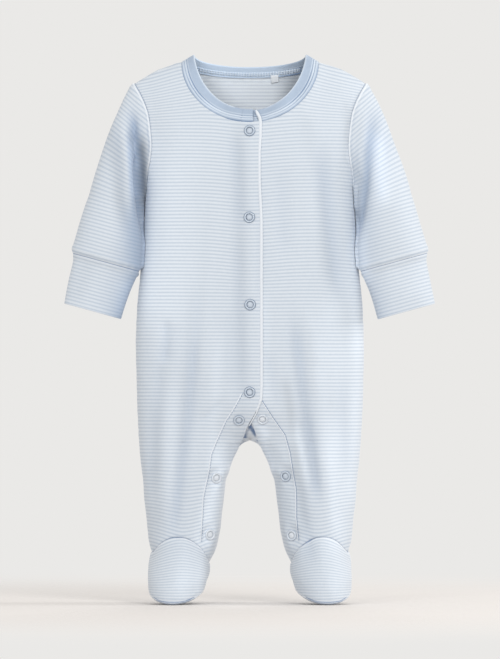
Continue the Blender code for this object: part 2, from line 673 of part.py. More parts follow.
def foot_side(turns, sole_turns):
    """Columns from the ankle seam down to the sole."""
    share = np.linspace(0, 1, FOOT_ROWS + 1)[:, None, None]
    start = body(turns, ankle_seam(turns))
    end = sole_point(sole_turns)
    centre = sole_point(np.array([90.0, 270.0])).mean(axis=0)
    length = np.linalg.norm(end - start, axis=1, keepdims=True)
    out = (end - centre) * np.array([1, 1, 0])
    out /= np.linalg.norm(out, axis=1, keepdims=True)
    down = np.array([0, 0, -1])
    instep = np.maximum(np.cos(np.radians(sole_turns)), 0.0)[:, None] * np.array([0, -INSTEP, 0])
    leave = length * (SWELL * out + FOOT_LEAVE * down + instep)
    arrive = length * (FOOT_ARRIVE * down - FOOT_TUCK * out)
    return hermite(start, end, leave, arrive, share)


def foot_grids():
    """The foot's top piece and the heel part of the back."""
    side = SIDE_SEAM_TURN
    top = foot_side(front_turns(ANKLE_INNER), np.linspace(-side, side, TRUNK_COLUMNS + 1))
    heel = foot_side(back_turns(ANKLE_INNER), np.linspace(side, 360 - side, TRUNK_COLUMNS + 1))
    return top, heel


def arm_centre(along):
    """The sleeve's axis at this distance from its start: distance from the middle plane, and height."""
    lean = math.radians(ARM_LEAN)
    return ARM_START[0] + along * math.sin(lean), ARM_START[1] - along * math.cos(lean)


def arm_ring(along, outer, inner, depth, shift, angles):
    """An oval ring about the sleeve's axis. The angle is 0 at the outer side and 90 at the back."""
    lean, turn = math.radians(ARM_LEAN), np.radians(angles)
    x, z = arm_centre(along)
    reach = (outer - inner) / 2 + (outer + inner) / 2 * np.cos(turn)
    across = x + reach * math.cos(lean)
    return np.stack([across, shift + depth * np.sin(turn), z + reach * math.sin(lean)], axis=-1)


def sleeve_inner(along):
    """Inner half width of the sleeve, which hangs just clear of the body's side."""
    lean = math.radians(ARM_LEAN)
    x, z = arm_centre(along)
    width = 25.0
    for _ in range(8):
        width = (x - float(side_at(z - width * math.sin(lean))) - KEEP_CLEAR) / math.cos(lean)
    return width


def make_sleeve(side, mirrored):
    """A set-in sleeve: its cap from the armhole to a ring, then rings to the cuff seam."""
    name = "sleeve_" + side
    back, front = armhole(False)[::-1], armhole(True)
    top = np.concatenate([yoke(back[:, 0], back[:, 1], False), yoke(front[1:-1, 0], front[1:-1, 1], True)])
    angles = np.arange(2 * ARMHOLE_COLUMNS) * 180.0 / ARMHOLE_COLUMNS
    rings = [
        arm_ring(s, out, sleeve_inner(s) if s < SLEEVE[-1][0] else SLEEVE_INNER_END, depth, shift, angles)
        for s, out, depth, shift in SLEEVE
    ]
    lean = math.radians(ARM_LEAN)
    under = ((1 - np.cos(np.radians(angles))) / 2)[:, None]
    length = np.linalg.norm(rings[0] - top, axis=1, keepdims=True)
    leave = (1 - under) * np.array(CAP_OVER) + under * np.array(CAP_UNDER)
    leave = leave + CAP_SWELL * np.sin(np.radians(angles))[:, None] * np.array([0, 1, 0])
    leave = leave * length * (CAP_LEAVE + CAP_LEAVE_UNDER * under)
    arrive = np.array([math.sin(lean), 0, -math.cos(lean)]) * length * CAP_ARRIVE
    share = np.linspace(0, 1, CAP_ROWS + 1)[:, None, None]
    grid = np.concatenate([hermite(top, rings[0], leave, arrive, share), np.array(rings[1:])])
    sheet = Sheet(name, JERSEY, "striped_jersey")
    seen = grid * np.array([-1 if mirrored else 1, 1, 1])
    fade = ease(np.arange(len(grid)) / 2.0)[:, None]
    sheet.add(grid, folds(seen, True) * fade, mirrored, closed=True)
    return sheet


def make_cuff(side, mirrored):
    """A cuff: a band that narrows to the wrist."""
    angles = np.arange(2 * ARMHOLE_COLUMNS) * 180.0 / ARMHOLE_COLUMNS
    sheet = Sheet("cuff_" + side, JERSEY, "striped_jersey")
    sheet.add([arm_ring(*row, angles) for row in CUFF], 0.0, mirrored, closed=True)
    return sheet


def make_neckband():
    """The rib band from under the right front's end, round the neck, to its end on top."""
    angles = neck_turns(ARMHOLE_COLUMNS)
    top_end = -math.degrees(math.asin(BAND_END / NECK_WIDTH))
    shares = back_neck_shares()
    half = {}
    top_angles = np.concatenate([[top_end], angles[angles > top_end + 4]])
    for side, front_angles in (("left", angles), ("right", top_angles)):
        flat = front_neck(front_angles)
        free = np.radians(front_angles * BAND_TURN)
        free_flat = np.stack([BAND_WIDTH * np.sin(free), BAND_CENTRE - BAND_DROP * np.cos(free)], -1)
        seam = yoke(flat[:, 0], flat[:, 1], True)
        edge = np.stack([free_flat[:, 0], seam[:, 1] * BAND_LEAN, free_flat[:, 1]], -1)
        back_flat = back_neck(shares)
        back_seam = yoke(back_flat[:, 0], back_flat[:, 1], False)
        turn = shares * math.pi / 2
        back_edge = np.stack(
            [
                free_flat[-1, 0] * np.cos(turn),
                back_seam[:, 1] * BAND_LEAN,
                BAND_SIDE + (BAND_BACK - BAND_SIDE) * np.sin(turn),
            ],
            -1,
        )
        half[side] = (np.concatenate([edge, back_edge[1:]]), np.concatenate([seam, back_seam[1:]]))
    flip = np.array([-1, 1, 1])
    edge = np.concatenate([half["left"][0], half["right"][0][::-1][1:] * flip])
    seam = np.concatenate([half["left"][1], half["right"][1][::-1][1:] * flip])
    rise = np.linspace(0, 1, 4)[:, None, None]
    grid = (1 - rise) * edge + rise * seam
    count = len(half["left"][0])
    end_lift = BAND_LIFT * ease((LIFT_END - np.abs(grid[..., 0])) / LIFT_FADE) * (grid[..., 1] < 0)
    sign = np.where(np.arange(grid.shape[1]) < count, -1.0, 1.0)
    sheet = Sheet("neckband", RIB, "blue_rib")
    sheet.add(grid, end_lift * sign)
    return sheet


def surface_point(x, height):
    """A point of the front, near its middle, at this place seen from the front."""
    if height >= UNDERARM:
        return yoke(np.array(x), np.array(height), True)
    return body(turn_at(x, height), height)


def surface_normal(x, height):
    """The way out of the front there."""
    step = 2.0
    across = surface_point(x + step, height) - surface_point(x - step, height)
    down = surface_point(x, height - step) - surface_point(x, height + step)
    return unit(np.cross(down, across))


def tangent_plane(outside, x, height):
    """The outer face of a front at a place seen from the front: a point, and the way out of the cloth."""
    points, faces = outside
    for face in faces:
        for k in range(1, len(face) - 1):
            a, b, c = points[face[0]], points[face[k]], points[face[k + 1]]
            normal = np.cross(b - a, c - a)
            if normal[1] > 0:
                continue
            to_place = np.array([x, 0, height]) - a
            u = np.cross(to_place, c - a)[1] / normal[1]
            v = np.cross(b - a, to_place)[1] / normal[1]
            if min(u, v) >= -1e-6 and u + v <= 1 + 1e-6:
                return a + u * (b - a) + v * (c - a), unit(normal)
    raise ValueError("no cloth at this place")


def binding_path():
    """The binding's middle line seen from the front, from the crotch point up to the neckband's free edge."""
    heights = np.linspace(BINDING_BOTTOM, UNDERARM, 18)
    upper = np.linspace(UNDERARM, BINDING_TOP[0][1], 6)[1:-1]
    edge = np.concatenate([-front_edge_at(heights), -front_edge_at(upper)])
    line = np.stack([edge, np.concatenate([heights, upper])], axis=-1)
    way = unit(np.gradient(line, axis=0))
    out = np.stack([way[:, 1], -way[:, 0]], axis=-1)
    line = line + out * (BINDING_HALF_WIDTH + SEAM_GAP)
    return np.concatenate([line, BINDING_TOP])


def make_binding():
    """The pale rolled binding along the right front's edge: a flattened tube."""
    line = binding_path()
    centre = np.array([surface_point(x, z) for x, z in line])
    ahead = unit(np.gradient(centre, axis=0))
    out = np.array([surface_normal(x, z) for x, z in line])
    across = unit(np.cross(ahead, out))
    sides = np.arange(8) * math.pi / 4 + math.pi / 8
    lift = BINDING_LIFT + BINDING_END_LIFT * ease((BINDING_RISE[0] - line[:, 1]) / BINDING_RISE[1])
    rise = lift[:, None] + BINDING_HALF_HEIGHT * np.sin(sides)
    reach = BINDING_HALF_WIDTH * np.cos(sides) / math.cos(math.pi / 8)
    points = centre[:, None] + out[:, None] * rise[..., None] + across[:, None] * reach[:, None]
    count, around = points.shape[:2]
    faces = []
    for i in range(count - 1):
        for j in range(around):
            k = (j + 1) % around
            faces.append([i * around + j, (i + 1) * around + j, (i + 1) * around + k, i * around + k])
    faces += [list(range(around)), [(count - 1) * around + j for j in reversed(range(around))]]
    add_object("placket_edge", points.reshape(-1, 3), faces, "pale_binding")


def make_tab():
    """The small blank tab that hangs inside the back neck."""
    corners = np.array(TAB)
    share = np.linspace(0, 1, 4)[:, None]
    top = corners[0] + share * (corners[1] - corners[0])
    low = corners[3] + share * (corners[2] - corners[3])
    flat = np.array([top + f * (low - top) for f in (0, 0.5, 1)])[:, ::-1]
    sheet = Sheet("neck_tab", TAB_THICKNESS, "white_label")
    sheet.add(yoke(flat[..., 0], flat[..., 1], False), TAB_LIFT)
    return sheet


def make_snap(name, place, normal):
    """A ring cap of a snap, its face turned the cloth's way."""
    right = np.cross(normal, [0, 0, 1.0])
    right /= np.linalg.norm(right)
    up = np.cross(right, normal)
    profile = (  # radius, height
        (CAP_HOLE, 0.0), (CAP_RADIUS, 0.0), (CAP_RADIUS - 0.2, CAP_HEIGHT * 0.6),
        ((CAP_RADIUS + CAP_HOLE) / 2, CAP_HEIGHT), (CAP_HOLE + 0.2, CAP_HEIGHT * 0.6),
    )
    points, faces = [], []
    for n in range(CAP_SIDES):
        angle = 2 * math.pi * n / CAP_SIDES
        way = math.cos(angle) * right + math.sin(angle) * up
        points += [place + way * radius + normal * (CAP_GAP + rise) for radius, rise in profile]
    for n in range(CAP_SIDES):
        for k in range(len(profile)):
            here, there = n * len(profile), (n + 1) % CAP_SIDES * len(profile)
            following = (k + 1) % len(profile)
            faces.append([here + k, here + following, there + following, there + k])
    add_object(name, points, faces, "painted_metal")


def make_foot(side, mirrored, top_grid):
    """The foot's top piece and its sole."""
    sign = np.array([-1 if mirrored else 1, 1, 1])
    lift = folds(top_grid * sign, False)
    lift[0] += edge_lift(top_grid[0, :, 0], top_grid[0, :, 2], True)
    top = Sheet("foot_top_" + side, JERSEY, "striped_jersey")
    top.add(top_grid, lift, mirrored)
    seam = SIDE_SEAM_TURN
    half = np.linspace(-seam, seam, TRUNK_COLUMNS + 1)[:-1]
    turns = np.concatenate([half, np.linspace(seam, 360 - seam, TRUNK_COLUMNS + 1)[:-1]])
    sole = Sheet("foot_sole_" + side, JERSEY, "striped_jersey")
    sole.add([sole_point(turns, inward) for inward in SOLE_RINGS], 0.0, mirrored, closed=True)
    return [top, sole]


def main():
    for old in list(bpy.data.objects):
        bpy.data.objects.remove(old, do_unlink=True)
    top_grid, heel = foot_grids()
    sheets = make_fronts() + [make_back(heel), make_neckband()]
    for side, mirrored in (("left", False), ("right", True)):
        sheets += [make_sleeve(side, mirrored), make_cuff(side, mirrored)]
        sheets += make_foot(side, mirrored, top_grid)
    sheets.append(make_tab())
    outside = build_walls(sheets)
    make_binding()
    for name, x, height, front in SNAPS:
        make_snap(name, *tangent_plane(outside[front], x, height))


main()
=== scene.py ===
"""The looks of a footed baby sleepsuit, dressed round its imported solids.

Lengths are in millimetres and angles in degrees until the meshes are made, which are in metres. +X is the
wearer's left, -Y the front and +Z up. The form repeats the solids' own, on finer grids: every cloth piece is
a wall about a middle surface, and pieces share their points along the seams.
"""

import math

import bpy
import numpy as np
from mathutils.bvhtree import BVHTree
from mathutils.kdtree import KDTree
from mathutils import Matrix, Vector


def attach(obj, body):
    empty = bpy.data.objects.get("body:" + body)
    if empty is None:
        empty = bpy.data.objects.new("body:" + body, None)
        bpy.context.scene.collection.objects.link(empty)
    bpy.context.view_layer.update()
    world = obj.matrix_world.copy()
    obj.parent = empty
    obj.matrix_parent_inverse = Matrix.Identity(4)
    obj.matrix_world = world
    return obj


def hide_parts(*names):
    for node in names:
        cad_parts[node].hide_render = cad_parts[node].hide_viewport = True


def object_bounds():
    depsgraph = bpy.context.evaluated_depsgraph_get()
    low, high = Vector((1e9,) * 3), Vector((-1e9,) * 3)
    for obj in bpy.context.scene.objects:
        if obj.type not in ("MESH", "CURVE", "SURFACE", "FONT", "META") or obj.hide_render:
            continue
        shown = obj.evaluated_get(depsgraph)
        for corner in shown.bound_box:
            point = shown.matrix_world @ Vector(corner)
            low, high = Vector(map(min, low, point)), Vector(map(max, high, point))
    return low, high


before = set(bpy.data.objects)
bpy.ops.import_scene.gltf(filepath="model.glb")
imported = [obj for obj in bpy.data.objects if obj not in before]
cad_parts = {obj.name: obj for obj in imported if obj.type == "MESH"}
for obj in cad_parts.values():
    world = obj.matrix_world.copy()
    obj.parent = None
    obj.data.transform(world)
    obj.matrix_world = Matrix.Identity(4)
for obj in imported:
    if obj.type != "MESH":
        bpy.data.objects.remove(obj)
before = [list(corner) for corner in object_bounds()]

# Cloth
CLOTH = 1.3  # thickness of a jersey wall
RIB = 2.1  # thickness of the neckband
LAYER_LIFT = 1.0  # how far an overlapping edge stands off the body's surface, outward or inward
LIFT_END, LIFT_FADE = 27.0, 14.0  # its reach from the middle plane, and the width over which it fades
LEG_LIFT_END = 30.0  # the same on the legs, from the inner line
CROTCH_LIFT = 2.4  # how much further in the strips lie behind both fronts, at the crotch
KEEP_CLEAR = 1.8  # from the body's widest line out to the sleeve
STRIPE = 3.56  # one light and one dark stripe
RIB_PITCH = 1.3  # one rib of the neckband
LEAST_RIM = 0.3  # a rounded edge's thickness at its very end, of the wall's

# Heights
UNDERARM = -137.0
FORK_TOP = -338.0  # where the front starts to round under, towards the crotch
FORK = -383.0  # the crotch
LEG_START, LEG_FULL = -300.0, -450.0  # between these the trunk's section turns into the leg's, at the sides
CROTCH_SPREAD = 42.0  # the crotch curve's reach to each side, as a turn
ANKLE_FRONT = -479.1  # top of the arch where the foot's top piece starts
ANKLE_OUTER = -494.0
ANKLE_INNER = -505.0
ARCH_TOP_TURN = 49.0  # the turn at which the arch is highest
ARCH_OUTER, ARCH_INNER = (2.0, 33.5), (1.5, 46.0)  # turns from there at which it leaves its top, and ends

# The trunk and both legs, seen from the front: half width at each height.
SIDE = (  # height, half_width
    (-137, 103.5), (-162, 105.0), (-192, 106.8), (-217, 109.2), (-252, 112.3), (-292, 113.5),
    (-342, 112.5), (-382, 110.5), (-402, 109.0), (-422, 106.6), (-442, 105.3), (-462, 102.8),
    (-482, 101.0), (-494, 98.0), (-506, 96.5),
)
INNER_LEG = (  # height, distance from the middle plane
    (-383, 0.0), (-386, 7.0), (-390, 11.0), (-394, 14.0), (-402, 18.0), (-414, 22.0), (-422, 25.0),
    (-442, 27.5), (-454, 29.5), (-470, 31.5), (-482, 34.0), (-494, 37.5), (-506, 42.5),
)
INNER_OVAL = (  # height, where a plain oval section of the leg would end, without the crotch's curve
    (-383, 17.0), (-402, 21.0), (-422, 25.2), (-442, 27.7), (-462, 30.3), (-482, 34.0), (-506, 42.5),
)
CROTCH_REACH = 46.0  # turn within which the leg's section stretches to its inner line
DEPTH = (  # height, front, back
    (-137, 41.0, 37.0), (-215, 42.0, 38.0), (-290, 43.0, 42.0), (-338, 42.0, 44.0), (-383, 40.0, 43.0),
)
LEG_DEPTH = (  # height, front, back
    (-330, 38.0, 42.0), (-400, 37.0, 38.0), (-440, 33.5, 34.0), (-480, 30.0, 29.0), (-506, 28.0, 27.0),
)
ROUNDNESS = 2.3  # exponent of the trunk's oval section

# Shoulders, neck and armholes
SHOULDER = (  # distance from the middle plane, height
    (0, 7.0), (30, 5.0), (50, 1.5), (68.5, -4.0), (89.5, -10.0), (104.5, -18.0), (115.5, -25.2), (125, -32),
)
SHOULDER_ROUND = 118.0  # height below the shoulder over which the chest reaches its full depth
SHOULDER_POWER = 1.8
ARM_SPREAD = 5.5 / 51.0**2  # how the trunk's side would widen above the underarm, per mm squared
NECK_WIDTH, NECK_DROP, NECK_CENTRE = 68.5, 62.0, -2.0  # front neck seam: half an ellipse
NECK_SIDE = -4.0  # height of the neck seam on the shoulder
NECK_BACK = -18.5  # height of the neck seam at the centre back
ARMHOLE = (  # height, distance from the middle plane at the front, and at the back
    (-137, 103.5, 103.5), (-130, 102.9, 102.9), (-118, 102.1, 102.3), (-109.5, 101.1, 102.0),
    (-100.7, 99.6, 101.7), (-86, 98.3, 102.0), (-72, 99.4, 102.8), (-56.8, 101.5, 104.5),
    (-48.5, 103.9, 106.2), (-37.7, 108.6, 110.0), (-25.2, 115.5, 115.5),
)

# Neckband: its free edge
BAND_WIDTH, BAND_DROP, BAND_CENTRE = 56.0, 62.5, 10.5
BAND_SIDE = 3.5
BAND_BACK = -8.0
BAND_LEAN = 0.86  # depth of the free edge, of the seam's
BAND_END = 3.5  # the top end reaches this far past the middle
BAND_TURN = math.acos((BAND_CENTRE - BAND_SIDE) / BAND_DROP)
BAND_TURN /= math.acos((NECK_CENTRE - NECK_SIDE) / NECK_DROP)  # its turn for each degree of the seam's
BAND_LIFT = 1.4  # how far its two ends lie out and in, where they overlap

# The front edges: how far each front's edge is from the middle plane, on its own side where positive.
FRONT_EDGE = (  # height, place
    (-395, 14.9), (-390, 12.6), (-382, 8.6), (-374, 5.2), (-366, 1.8), (-354, -5.2), (-343, -9.4),
    (-330, -10.2), (-230, -10.2), (-165, -10.1), (-137, -8.8), (-115, -8.0), (-95, -8.0), (-75, -9.2),
    (-60, -9.4),
)
EDGE_OVER_INNER = 0.5  # below the crotch each front's edge lies this far out from the leg's inner line
STRIP_END = -488.0  # lower end of the snap strips under the fronts' leg edges
STRIP_TOP = -348.0  # upper end, behind the crotch point
STRIP_LEAST_TURN = 3.0  # the strips' first column lies at least this far from the inner line
STRIP_NARROWING = 0.55  # how much of their width they lose towards their upper end
STRIP_NARROW_START = -405.0  # where that starts
CROTCH_LIFT_START, CROTCH_LIFT_END = -399.0, -387.0  # between these the strips go in behind both fronts
BACK_LIFT_TURN = 158.0  # from here to the inner leg the back goes in, to meet the strip
BACK_LIFT_FADE = 11.0  # height above the crotch over which it comes back out

# The binding on the right front's edge
BINDING_HALF_WIDTH, BINDING_HALF_HEIGHT, BINDING_LIFT = 1.6, 1.15, 0.65
BINDING_END_LIFT = 0.9  # how much further out its lower end lies, over both fronts
BINDING_BOTTOM = -367.5
BINDING_OVERLAP = 0.5  # how far it lies over the front's edge
BINDING_TAPER = 0.6  # how much of its size it loses there
BINDING_RISE = (-342.0, 14.0)  # where its lower end starts to lie further out, and how gradually
BINDING_TOP = (  # distance past the middle, height: from the neck seam up the neckband's end
    (10.4, -64.0), (9.6, -60.0), (7.5, -56.0), (5.6, -51.8),
)

# The blank tab inside the back neck: corners seen from the front
TAB = ((20.9, -15.6), (28.6, -15.4), (28.9, -22.4), (21.6, -23.5))  # x, height
TAB_THICKNESS, TAB_LIFT = 1.0, -1.6

# Sleeve and cuff, about an axis that leans out from the body
ARM_START = (127.6, -137.0)  # distance from the middle plane, height
ARM_LEAN = math.radians(15.3)
SLEEVE = (  # along the axis, outer half width, half depth, forward shift
    (8, 32.6, 26.0, -7.0), (22, 33.4, 26.8, -8.5), (36, 33.5, 26.8, -10.0), (50, 33.6, 26.0, -11.0),
    (62, 34.0, 24.2, -11.7), (69, 32.2, 21.0, -12.0),
)
SLEEVE_INNER_END = 35.8  # inner half width where the cuff starts
CAP_OVER, CAP_UNDER = (0.82, 0, -0.57), (0.95, 0, -0.3)  # ways out of the armhole, on top and underneath
CAP_SWELL = 0.3  # how far its front and back swell out of it
CAP_LEAVE, CAP_LEAVE_UNDER = 0.36, 0.5  # how long it keeps that way, and how much longer underneath
CAP_ARRIVE = 0.9  # how long it runs along the arm before the sleeve's first ring
CUFF = (  # along the axis, outer half width, inner half width, half depth, forward shift
    (69, 32.2, 35.8, 21.0, -12.0), (76, 29.8, 34.6, 17.8, -12.4), (92, 28.6, 32.4, 16.0, -13.2),
    (106, 27.4, 31.4, 15.4, -14.0), (120, 26.2, 31.0, 15.0, -14.8),
)

# Foot
TOE, HEEL = -79.0, 25.0  # depth of the sole's ends
SOLE_TOE = -544.4  # height of the sole seam at the toe
SOLE_SLOPE = 0.25  # how much it rises for each mm towards the heel
SOLE_HALF_WIDTH = 26.0
FOOT_AXIS, FOOT_SPLAY = 70.5, 0.09  # the foot's middle line, from the middle plane, and its lean outward
SOLE_BULGE = 3.6
SWELL, INSTEP = 0.33, 0.35  # how far the foot bulges out, and its top forward, for each mm of its height
SIDE_SEAM_TURN = 104.0  # place of the foot's side seams on the sole, from the toe
HEEL_TAPER, TAPER_START, TAPER_LENGTH = 0.16, -30.0, 50.0  # the sole's narrowing, its start and its length
FOOT_LEAVE = 0.8  # how far the foot's sides go straight down from the ankle seam
FOOT_ARRIVE, FOOT_TUCK = 0.9, 0.25  # how far they go down, and in, to the sole

# Snaps: ring caps on the outer face
CAP_GAP = 0.45
CAP_SIDES = 48
CAP_PROFILE = (  # radius, height, how much painted shadow shows at the ring's edges
    (3.25, -0.2, 1.0), (3.25, 0.25, 1.0), (3.4, 0.6, 0.9), (3.75, 0.95, 0.25), (4.3, 1.12, 0.0),
    (4.85, 1.05, 0.1), (5.25, 0.8, 0.7), (5.55, 0.45, 1.0), (5.65, 0.1, 1.0), (5.6, -0.3, 1.0),
)
MIDDLE_PROFILE = ((0.0, 0.75), (1.0, 0.7), (1.9, 0.5), (2.6, 0.15), (3.2, -0.45))  # the cloth in the ring
PALEST_RING = 0.6  # painted highlight: how pale a ring is whose edges' painted shadow doesn't show at all
PALE_RINGS = {  # rings that take a painted highlight, and whose edges' painted shadow shows less
    "snap_5": 0.75, "snap_6": 0.3, "snap_7": 0.15, "snap_8": 0.8, "snap_9": 0.1, "snap_10": 0.45,
}
SNAPS = {  # distance from the middle plane, wearer's left positive, and height
    "snap_1": (-0.4, -73.0), "snap_2": (-0.6, -159.4), "snap_3": (0.2, -246.6), "snap_4": (-0.3, -334.0),
    "snap_5": (-11.0, -361.8), "snap_6": (12.5, -361.0), "snap_7": (-33.7, -419.8),
    "snap_8": (35.7, -418.0), "snap_9": (-40.0, -476.6), "snap_10": (41.7, -477.2),
}

# Soft troughs (negative height) and ridges, each along a line seen from the front.
FRONT_FOLDS = (  # start x, start z, end x, end z, half width, height
    (-116, -66, -106, -152, 7.0, -4.2), (124, -68, 108, -170, 6.5, -3.8), (-50, -245, -74, -462, 9.0, -2.2),
    (46, -275, 68, -432, 9.0, -2.2), (-78, -270, -84, -300, 8.0, -1.4), (66, -268, 68, -302, 8.0, 1.3),
    (-132, -74, -124, -132, 8.0, -1.2), (136, -80, 128, -140, 8.0, -1.2),
    (-117, -66, -106, -152, 4.5, -4.4), (-110, -96, -104, -178, 5.0, -4.0),
    (-127, -72, -118, -150, 4.0, 1.5), (119, -66, 108, -170, 3.6, -1.0),
    (-136, -150, -130, -186, 6.0, -0.8), (146, -140, 136, -186, 7.0, -0.7),
    (-14, -85, -10, -160, 8.0, -2.8), (-12, -180, -9, -330, 7.0, -2.2), (9, -135, 9, -250, 4.5, -1.0),
    (73, -105, 88, -225, 9.0, -4.0), (60, -150, 66, -225, 6.0, 1.3), (-90, -310, -98, -420, 7.0, -2.0),
    (-36, -150, -42, -232, 8.0, 1.2), (30, -120, 34, -190, 8.0, -1.3), (-56, -290, -63, -370, 5.0, -2.0),
    (-65, -380, -76, -465, 5.0, -2.4), (46, -275, 54, -345, 5.0, -2.2), (56, -360, 67, -432, 5.5, -3.6),
    (58, -262, 64, -330, 5.0, 1.4), (-44, -230, -47, -310, 6.5, 1.3), (-84, -265, -86, -300, 4.5, -2.0),
    (18, -300, 27, -345, 5.0, -1.3), (92, -330, 95, -410, 7.0, -1.4), (-22, -262, -20, -325, 6.5, -1.0),
    (74, -400, 80, -470, 6.0, 1.2), (50, -428, 60, -495, 6.0, -2.2), (-30, -345, -47, -362, 4.0, -1.2),
)
BACK_FOLDS = (
    (-114, -70, -106, -150, 7.0, -3.6), (118, -74, 108, -158, 7.0, -3.8),
    (-34, -150, -58, -300, 10.0, -2.0), (40, -170, 52, -320, 10.0, -1.8), (-60, -392, -72, -460, 9.0, -2.0),
    (64, -396, 74, -466, 9.0, -2.0), (-48, -352, -14, -374, 7.0, -1.6), (50, -350, 16, -374, 7.0, -1.6),
    (0, -190, 4, -300, 12.0, -1.2), (-84, -180, -90, -300, 9.0, -1.3), (84, -200, 88, -290, 8.0, -1.3),
    (-24, -60, -30, -130, 8.0, -1.0),
)
PAINTED_LIGHT_AND_SHADE = {  # painted light and shade: how much lighter the cloth is along a line: start x, start z, end x, end z, half width, amount
    "trunk": (
        (-99, -95, -103, -250, 11.0, 0.15), (104, -120, 108, -300, 8.0, 0.16),
        (-84, -110, -88, -270, 14.0, 0.07), (80, -250, 88, -330, 12.0, 0.06),
        (-66, -85, -70, -280, 26.0, 0.06), (70, -290, 77, -420, 8.0, 0.06),
        (54, -335, 70, -435, 5.0, -0.06), (-32, -290, -38, -400, 6.0, 0.06),
        (13, -384, 24, -412, 5.0, 0.25), (-12, -386, -22, -412, 5.0, 0.22),
        (-78, -330, -82, -440, 8.0, 0.05), (-46, -500, -50, -538, 6.0, 0.14),
        (106, -330, 100, -440, 7.0, 0.08), (-10, -70, -8, -330, 7.0, -0.07),
        (36, -325, 44, -372, 5.0, -0.12), (46, -368, 57, -420, 3.0, 0.13),
        (-28, -398, -47, -490, 9.0, 0.28), (44, -390, 55, -465, 5.5, -0.14),
        (-95, -350, -90, -470, 7.0, -0.07), (-60, -250, -70, -410, 6.0, -0.05),
        (14, -240, 16, -345, 6.0, 0.05), (56, -60, 64, -115, 8.0, -0.05), (96, -45, 97, -80, 5.0, -0.07),
        (82, -370, 86, -480, 11.0, 0.11), (8, -360, 16, -378, 6.0, 0.18),
    ),
    "arm": (
        (-108, -84, -104, -150, 5.0, -0.52), (-130, -90, -126, -165, 7.0, -0.1),
        (-120, -88, -116, -135, 3.5, 0.25), (109, -165, 113, -225, 8.0, 0.25),
        (126, -80, 134, -140, 8.0, 0.26), (-138, -75, -131, -150, 6.0, -0.1),
        (140, -205, 165, -235, 14.0, 0.05), (-124, -225, -127, -255, 8.0, 0.1),
        (-160, -205, -172, -240, 8.0, -0.05),
    ),
    "rib": (
        (-56, -14, -34, -52, 10.0, 0.09), (54, -10, 36, -48, 9.0, 0.1),
    ),
}
PAINTED_LIGHT_AND_SHADE_DEPTH = {"trunk": 8.0, "arm": 35.0, "rib": 8.0}  # behind this depth the painted light and shade fade out
CREASE_PAST, CREASE_FADE = 0.25, 0.4  # how far past its ends a fold goes, and fades, of its length
FACING_FADE = 8.0  # the folds of the front and the back fade over this depth at the sides
WAVES = {  # unevenness: seed, lengths across, back and along the body, height
    "trunk": (7, (38, 50, 95), 0.38), "arm": (3, (44, 60, 70), 0.45), "rib": (5, (40, 40, 40), 0.12),
    "pucker": (11, (9, 9, 9), 0.16),
}
QUIET, ARM_QUIET = 9.0, 4.0  # the folds fade out this near to a seam
PUFF_PLACE, PUFF_WIDTH, PUCKER_PLACE, PUCKER_WIDTH = 4.2, 3.0, 2.0, 3.0  # distances from a seam, and widths
ARM_FOLDS, ARM_FOLDS_END = 105.0, -100.0  # folds that start beyond this, and above this height, are the arm's
PINCH, PINCH_WIDTH = -0.45, 7.5  # how far the cloth is drawn in round a snap
PINCH_RIM, PINCH_RIM_PLACE, PINCH_RIM_WIDTH = 0.1575, 11.0, 4.0  # and how far it stands out round that
LEG_SNAPS_TOP = -403.0  # below this the snaps are the legs'
# The flat place round each of the legs' snaps: depth, turn to the front, reach, fade, least and most move
FLAT_SINK, FLAT_TURN, FLAT_REACH, FLAT_FADE, FLAT_LIMITS = 0.7, 0.75, 6.5, 8.0, (-3.0, 1.0)
SEAM_DIP, SEAM_WIDTH, CUFF_DIP = 0.7, 0.8, 0.35  # a seam's groove: depth, width, and depth on a cuff
CUFF_SEAM_TOP = -165.0  # below this an arm's seams are the cuff's
CUFF_SEAM_FAINT = 1.0, 1.25  # how much thinner the right and left cuffs' seams show
FAINT_INSIDE = 6.0  # how much thinner the jersey's seams show on its wrong side
RIDGE_END = -122.0  # a sleeve's folded edge takes a painted highlight above this
CUFF_PALE, BAND_EDGE, FRONT_EDGE_PALE, ARCH_PALE = 0.2, 0.7, 0.6, 0.7  # painted highlights: how pale the cloth is along edges
EDGE_WIDTH, BAND_EDGE_WIDTH, BAND_ENDS = 0.9, 1.1, 13.0  # and where the neckband's painted highlight on its edge starts in front
FRONT_DARK = -90.0  # above this the inside of the neck is painted in shade on the wearer's left
INSIDE_TILT = 0.09  # painted light and shade: how much lighter the inside of the neck is on the wearer's right, and darker on the left
SHADE_DEPTH = 5.0  # a fold this deep takes the whole of its painted shade
TRUNK_SHADE, ARM_SHADE = 0.35, (0.95, 0.3)  # the trunk's share of that painted shade, and the painted shade of the right and left arms' inner sides
CROTCH_SHADOWS = ((-11.5, -393.0), (0.5, -366.5), (13.0, -389.5))  # x, z: where the fronts part over the back, and painted shadow lines run on it
INSIDE_DEEP = 1.7  # how strongly the back is painted in shade there
OPENING_HALF_WIDTH, OPENING_EDGE, SEEN_DEPTH = 12.0, 22.0, 20.0  # how much of the back shows there, and takes painted light
SHADOW_WIDTH, SHADOW_LINE = 1.3, 0.42  # that painted shade's width, and how much nearer its line counts than a seam
LEG_EDGE, LEG_EDGE_WIDTH = (0.8, 0.35), 9.0  # painted light: how much paler the right and left fronts are at the legs' edges
ARCH_LINE = 0.8  # the arch seam's line shows this far onto the foot's top
TOE_LINE = 1.9  # the sole's seam shows this far above the toe's edge
TOUCH, TOUCH_REACH = 0.5, 5.0  # the sleeve comes this near the trunk where it is within this reach of it
RIDGE_PLACE, RIDGE_WIDTH = 1.5, 0.8  # the folded edge beside a seam: its distance, and its width
SLEEVE_PUFF = 0.9  # how far the sleeve swells beside its seams
REACH = 40.0  # distances to seams and edges are found as far as this
